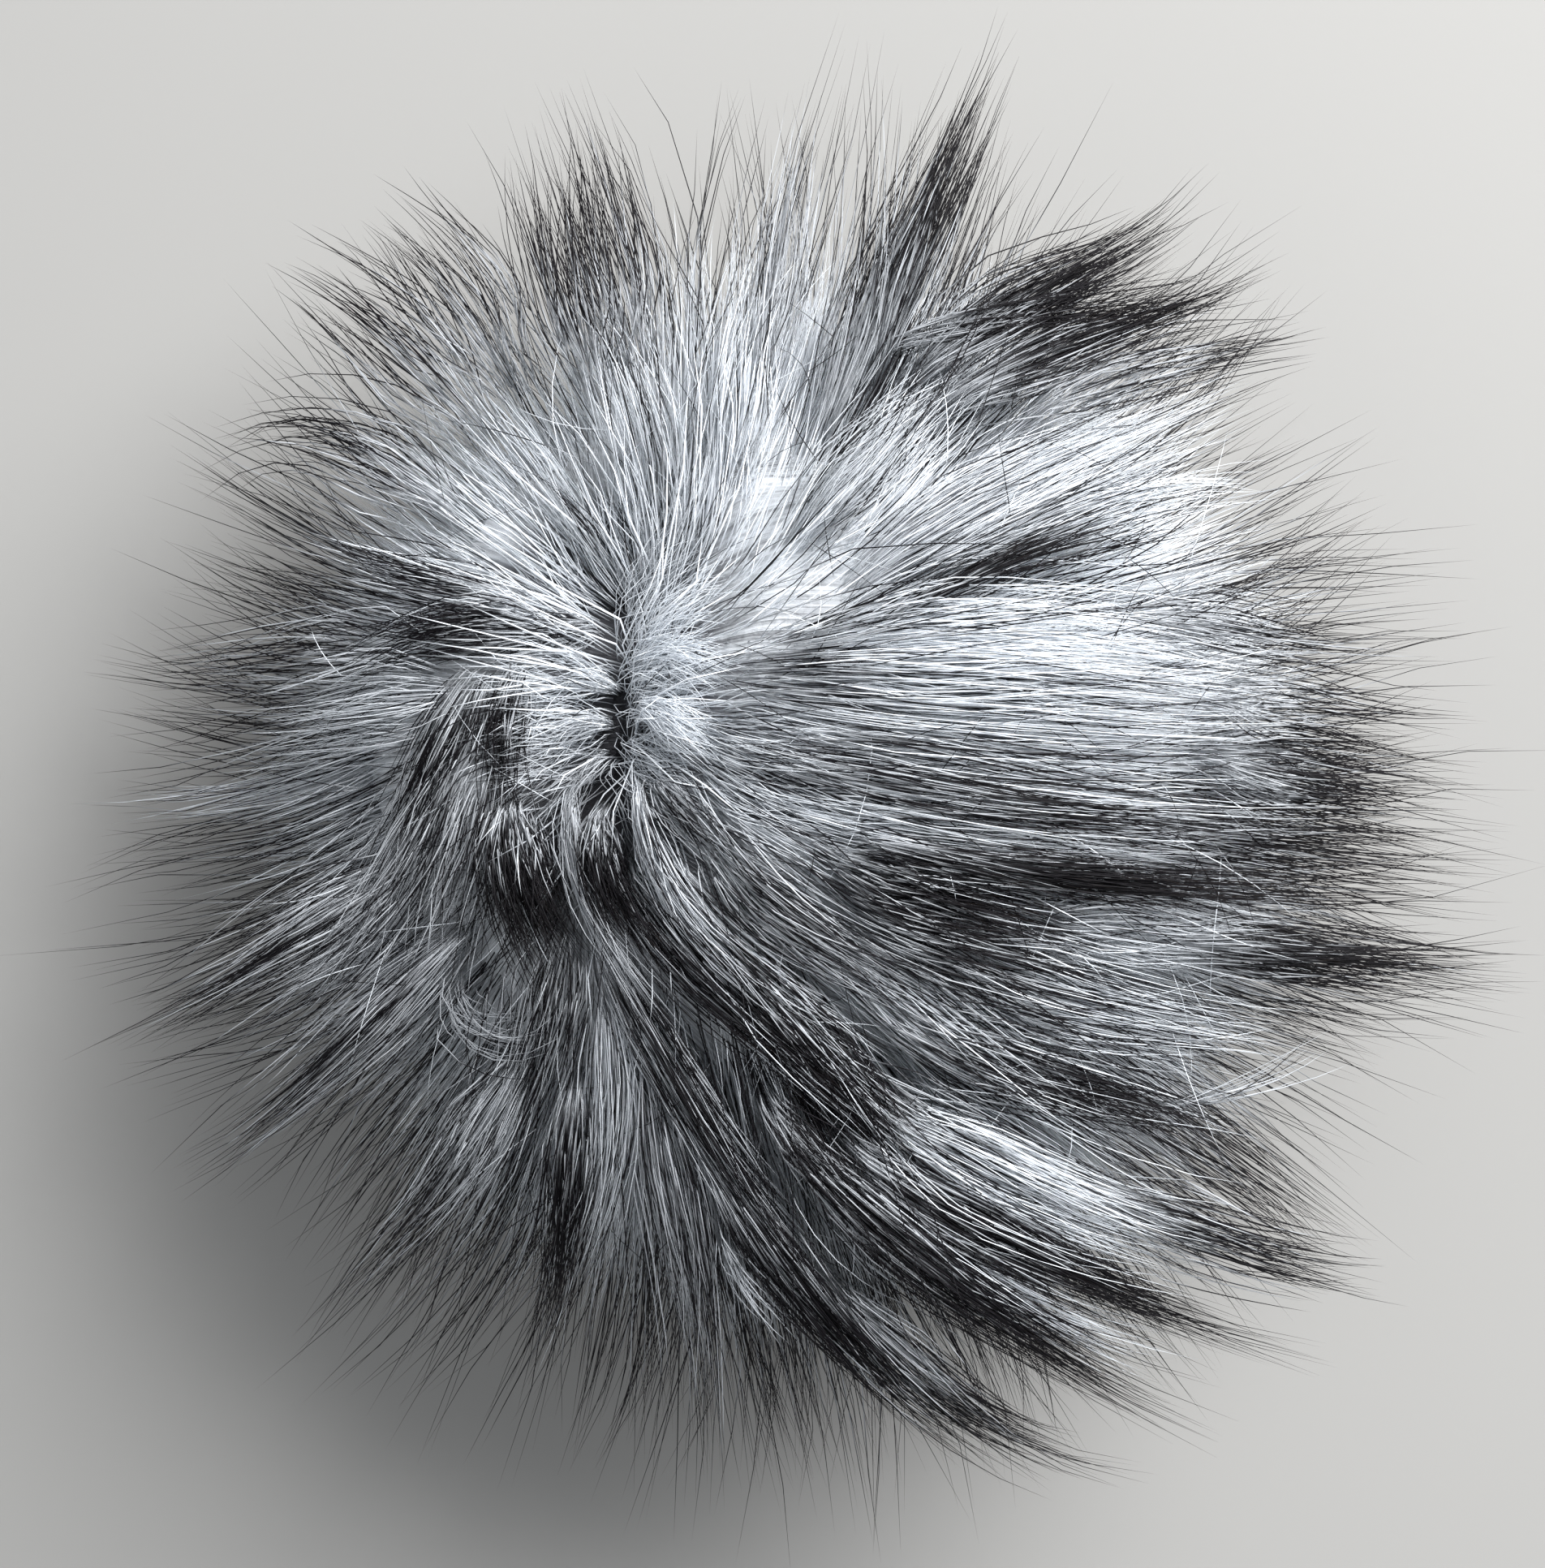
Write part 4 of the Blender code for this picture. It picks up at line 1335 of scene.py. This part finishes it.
# How far hairs are aside and deep in the lock, against its width.
HAIR_ASIDE = 0.55
HAIR_DRIFT = 0.20
HAIR_DEPTH = (-0.6, 1.0)
LOCK_FLATNESS = 0.5
# They rise out of the coat within a short share of their own length.
ROOT_DIP = 0.009
ROOT_RISE = 0.14
BLACK_HAIR = 0.93
BLACK_LIES_OVER = 0.0011
MM_IN_METRE = 1000.0


def lay_lock(dye, black_share, width, gather, lift, hairs, *corners):
    """Hairs that rise out of the coat, run together along a curve on it, and come to a point."""
    shares = LONG_LOCK_SHARES[:, None]
    start = chance.uniform(0.0, LAST_START, hairs) ** START_SKEW
    end = np.clip(start + chance.uniform(*LOCK_HAIR_REACH, hairs), 0.0, LAST_END)
    places = start + (end - start) * shares
    middle, across = curve_through(corners, places)
    spread = width / MM_IN_METRE * (1.0 - gather * smooth_share(places, *GATHERED_BETWEEN))
    spread *= FOOT_SPREAD + (1.0 - FOOT_SPREAD) * smooth_share(places, *WIDE_BETWEEN)
    aside = chance.normal(0.0, HAIR_ASIDE, hairs) + chance.normal(0.0, HAIR_DRIFT, hairs) * shares
    spots = middle + across * (aside * spread)[..., None]
    height = height_at(spots.reshape(-1, 2)).reshape(spread.shape)
    depth = chance.uniform(*HAIR_DEPTH, hairs) * spread * LOCK_FLATNESS
    black = chance.uniform(size=hairs) < black_share
    dip = ROOT_DIP * (1.0 - smooth_share(shares, 0.0, ROOT_RISE))
    height += lift / MM_IN_METRE + depth + BLACK_LIES_OVER * black - dip
    lines = np.concatenate([spots, height[..., None]], axis=2)
    lines = stray(lines, tip_stray=0.0015, bend=0.0004)
    dyes = np.where(black, BLACK_HAIR, dye) + chance.normal(0.0, DYE_VARIATION, hairs)
    return lines, np.clip(dyes, 0.0, 1.0)


print("hairs of a lock start up to", round(LAST_START**START_SKEW, 2), "of the way along it")

# %% Lay the pale locks, then the black ones
MOSTLY_BLACK = 0.5
PALE_LOCK_WIDTHS = (0.00005, 0.00009)
BLACK_LOCK_WIDTHS = (0.00006, 0.00010)


def lay_locks(name, rows, widths):
    laid = [lay_lock(*row[1:]) for row in rows]
    lines = np.concatenate([lines for lines, _dyes in laid], axis=1)
    dyes = np.concatenate([dyes for _lines, dyes in laid])
    return make_hairs(name, lines, chance.uniform(*widths, len(dyes)), LONG_LOCK_SHARES, dyes)


lay_locks("pale_locks", [row for row in LONG_LOCKS if row[2] < MOSTLY_BLACK], PALE_LOCK_WIDTHS)
lay_locks("black_locks", [row for row in LONG_LOCKS if row[2] >= MOSTLY_BLACK], BLACK_LOCK_WIDTHS)

# %% [markdown]
# ## Stray hairs
# A few fine hairs always lie across the rest at angles of their own. They are scattered at random, but
# from the seeded generator, so that each run gives the same ones.

# %% Scatter stray hairs over the coat
STRAY_REACH = 0.050
STRAY_STEPS = 5
STRAY_CURL = 0.10
STRAY_RISE = (0.0005, 0.0030)
STRAY_CLEARANCE = 0.0006
STRAY_ROOT_DIP = 0.002
STRAY_DYE_VARIATION = 0.03
FINE_WIDTHS = (0.00004, 0.00007)


def stray_path(spots, angle, stride):
    """Steps over the coat from the spots, each turned a little further by the hair's own curl."""
    curl = chance.normal(0.0, STRAY_CURL, len(spots))
    stride = chance.uniform(*stride, len(spots)) / STRAY_STEPS
    path = [spots]
    for _ in range(STRAY_STEPS):
        path.append(path[-1] + stride[:, None] * np.column_stack([np.cos(angle), np.sin(angle)]))
        angle = angle + curl
    return np.array(path)


def scatter_strays(name, count, lengths, turning, dye):
    """Single hairs that lie on the coat at their own angle, a little curled."""
    level = STRAY_REACH * np.sqrt(chance.uniform(size=count))
    bearing = chance.uniform(0.0, WHOLE_TURN, count)
    spots = np.column_stack([level * np.cos(bearing), level * np.sin(bearing)])
    heading = lie(np.column_stack([spots, height_at(spots)]))
    angle = np.arctan2(heading[:, 1], heading[:, 0]) + chance.normal(0.0, turning, count)
    path = stray_path(spots, angle, lengths)
    shares = np.linspace(0.0, 1.0, STRAY_STEPS + 1)
    rise = chance.uniform(*STRAY_RISE, count)
    height = np.array([height_at(spots) for spots in path]) + STRAY_CLEARANCE
    height += rise * np.sin(math.pi * shares[:, None]) - STRAY_ROOT_DIP * (shares[:, None] == 0.0)
    lines = np.concatenate([path, height[..., None]], axis=2)
    widths = chance.uniform(*FINE_WIDTHS, count)
    return make_hairs(name, lines, widths, shares, dye + chance.normal(0.0, STRAY_DYE_VARIATION, count))


scatter_strays("stray_wool", 130, (0.008, 0.022), turning=0.8, dye=0.03)
scatter_strays("stray_black", 340, (0.006, 0.020), turning=0.6, dye=0.99)

# %% [markdown]
# ## Tufts at the parting
# Beside the parting the pile is short and woolly: pale tufts that rise and bend over to either side.

# %% Chart the tufts
# The greyer dyes of the lower left tufts are painted shade, as the left of the parting lies in shade.
TUFTS = (
    # place, x, y, heading in degrees, length, hairs, dye
    ("right top", -0.0128, 0.0165, 32, 0.017, 110, 0.16),
    ("right upper", -0.0128, 0.0125, 12, 0.017, 210, 0.04),
    ("right middle", -0.0128, 0.0085, 2, 0.017, 230, 0.04),
    ("right lower", -0.0128, 0.0040, -12, 0.017, 220, 0.10),
    ("right foot", -0.0128, 0.0000, -35, 0.018, 130, 0.34),
    ("left top", -0.0198, 0.0165, 160, 0.014, 100, 0.10),
    ("left upper", -0.0203, 0.0125, 175, 0.014, 190, 0.08),
    ("left middle", -0.0207, 0.0080, 188, 0.014, 230, 0.14),
    ("left lower", -0.0207, 0.0035, 200, 0.014, 210, 0.24),
    ("left foot", -0.0205, -0.0005, 225, 0.012, 110, 0.48),
)
print(len(TUFTS), "tufts beside the parting")

# %% Grow the tufts
TUFT_STEPS = 5
TUFT_FOOT = 0.0015
TUFT_ROOT_DEPTH = 0.0005
TUFT_TURNING = 14.0
TUFT_REACH = (0.7, 1.15)
# How strongly they go sideways and upwards, at their foot and by how much more at their tip.
TUFT_SIDEWAYS = (0.35, 1.1)
TUFT_UPWARDS = (1.15, -1.35)
TUFT_FRIZZ = 0.22
TUFT_DYE_VARIATION = 0.06


def grow_tuft(x, y, degrees, length, hairs):
    """Short hairs that rise from the ball and arch over to one side."""
    spots = chance.normal(0.0, TUFT_FOOT, (hairs, 2)) + (x, y)
    level = np.linalg.norm(spots, axis=1)
    height = BALL_CENTRE[2] + np.sqrt(BALL_RADIUS**2 - level**2)
    points = [np.column_stack([spots, height - TUFT_ROOT_DEPTH])]
    turn = np.radians(degrees + chance.normal(0.0, TUFT_TURNING, hairs))
    sideways = np.column_stack([np.cos(turn), np.sin(turn), np.zeros(hairs)])
    upwards = soft_unit(points[0] - BALL_CENTRE)
    stride = (length * chance.uniform(*TUFT_REACH, hairs) / TUFT_STEPS)[:, None]
    for share in np.linspace(0.0, 1.0, TUFT_STEPS):
        out = TUFT_SIDEWAYS[0] + TUFT_SIDEWAYS[1] * share
        up = TUFT_UPWARDS[0] + TUFT_UPWARDS[1] * share
        way = sideways * out + upwards * up
        way += chance.normal(0.0, TUFT_FRIZZ, way.shape)
        points.append(points[-1] + soft_unit(way) * stride)
    return np.array(points)


lines = np.concatenate([grow_tuft(*row[1:6]) for row in TUFTS], axis=1)
hairs = lines.shape[1]
widths = chance.uniform(*FINE_WIDTHS, hairs)
dyes = np.repeat([row[6] for row in TUFTS], [row[5] for row in TUFTS])
dyes = dyes + chance.uniform(-TUFT_DYE_VARIATION, TUFT_DYE_VARIATION, hairs)
make_hairs("parting_tufts", lines, widths, np.linspace(0.0, 1.0, TUFT_STEPS + 1), dyes)

# %% [markdown]
# ## Stage, light and camera
# The camera looks straight down, as the photograph does. One broad light from the upper right gives
# the coat its bright side, and a weaker one fills the shade.

# %% Lay the floor
FLOOR_SIZE = 1.5
FLOOR_GREY = (0.34, 0.335, 0.325, 1.0)
FLOOR_ROUGHNESS = 0.9


def make_floor():
    plate = bmesh.new()
    bmesh.ops.create_grid(plate, x_segments=1, y_segments=1, size=FLOOR_SIZE)
    mesh = end_bmesh(plate, "floor")
    paint, shader, _start = start_material("floor_paint")
    shader.inputs["Base Color"].default_value = FLOOR_GREY
    shader.inputs["Roughness"].default_value = FLOOR_ROUGHNESS
    mesh.materials.append(paint)
    floor = put("floor", mesh)


make_floor()
print("the floor is", 2 * FLOOR_SIZE, "m wide")


# %% Light the scene
def make_light(name, place, power, size):
    data = bpy.data.lights.new(name, "AREA")
    data.energy = power
    data.size = size
    lamp = put(name, data)
    lamp.location = place
    lamp.rotation_mode = "QUATERNION"
    lamp.rotation_quaternion = (-lamp.location).to_track_quat("-Z", "Y")


make_light("key_light", (0.60, 0.61, 0.66), power=31.0, size=0.8)
make_light("fill_light", (-0.7, -0.3, 0.7), power=1.6, size=0.9)
world = bpy.data.worlds.new("studio")
world.use_nodes = True
background = world.node_tree.nodes["Background"]
background.inputs["Color"].default_value = (0.92, 0.96, 1.0, 1.0)
background.inputs["Strength"].default_value = 0.40
bpy.context.scene.world = world
print(len(bpy.data.lights), "lights and a pale world")

# %% Set the camera
camera_data = bpy.data.cameras.new("camera")
camera_data.lens = CAMERA_LENS
camera_data.clip_start = 0.01
camera = put("camera", camera_data)
camera.location.z = CAMERA_HEIGHT
bpy.context.scene.camera = camera
bpy.context.scene.view_settings.view_transform = "Standard"
print("the camera looks straight down from", CAMERA_HEIGHT, "m")
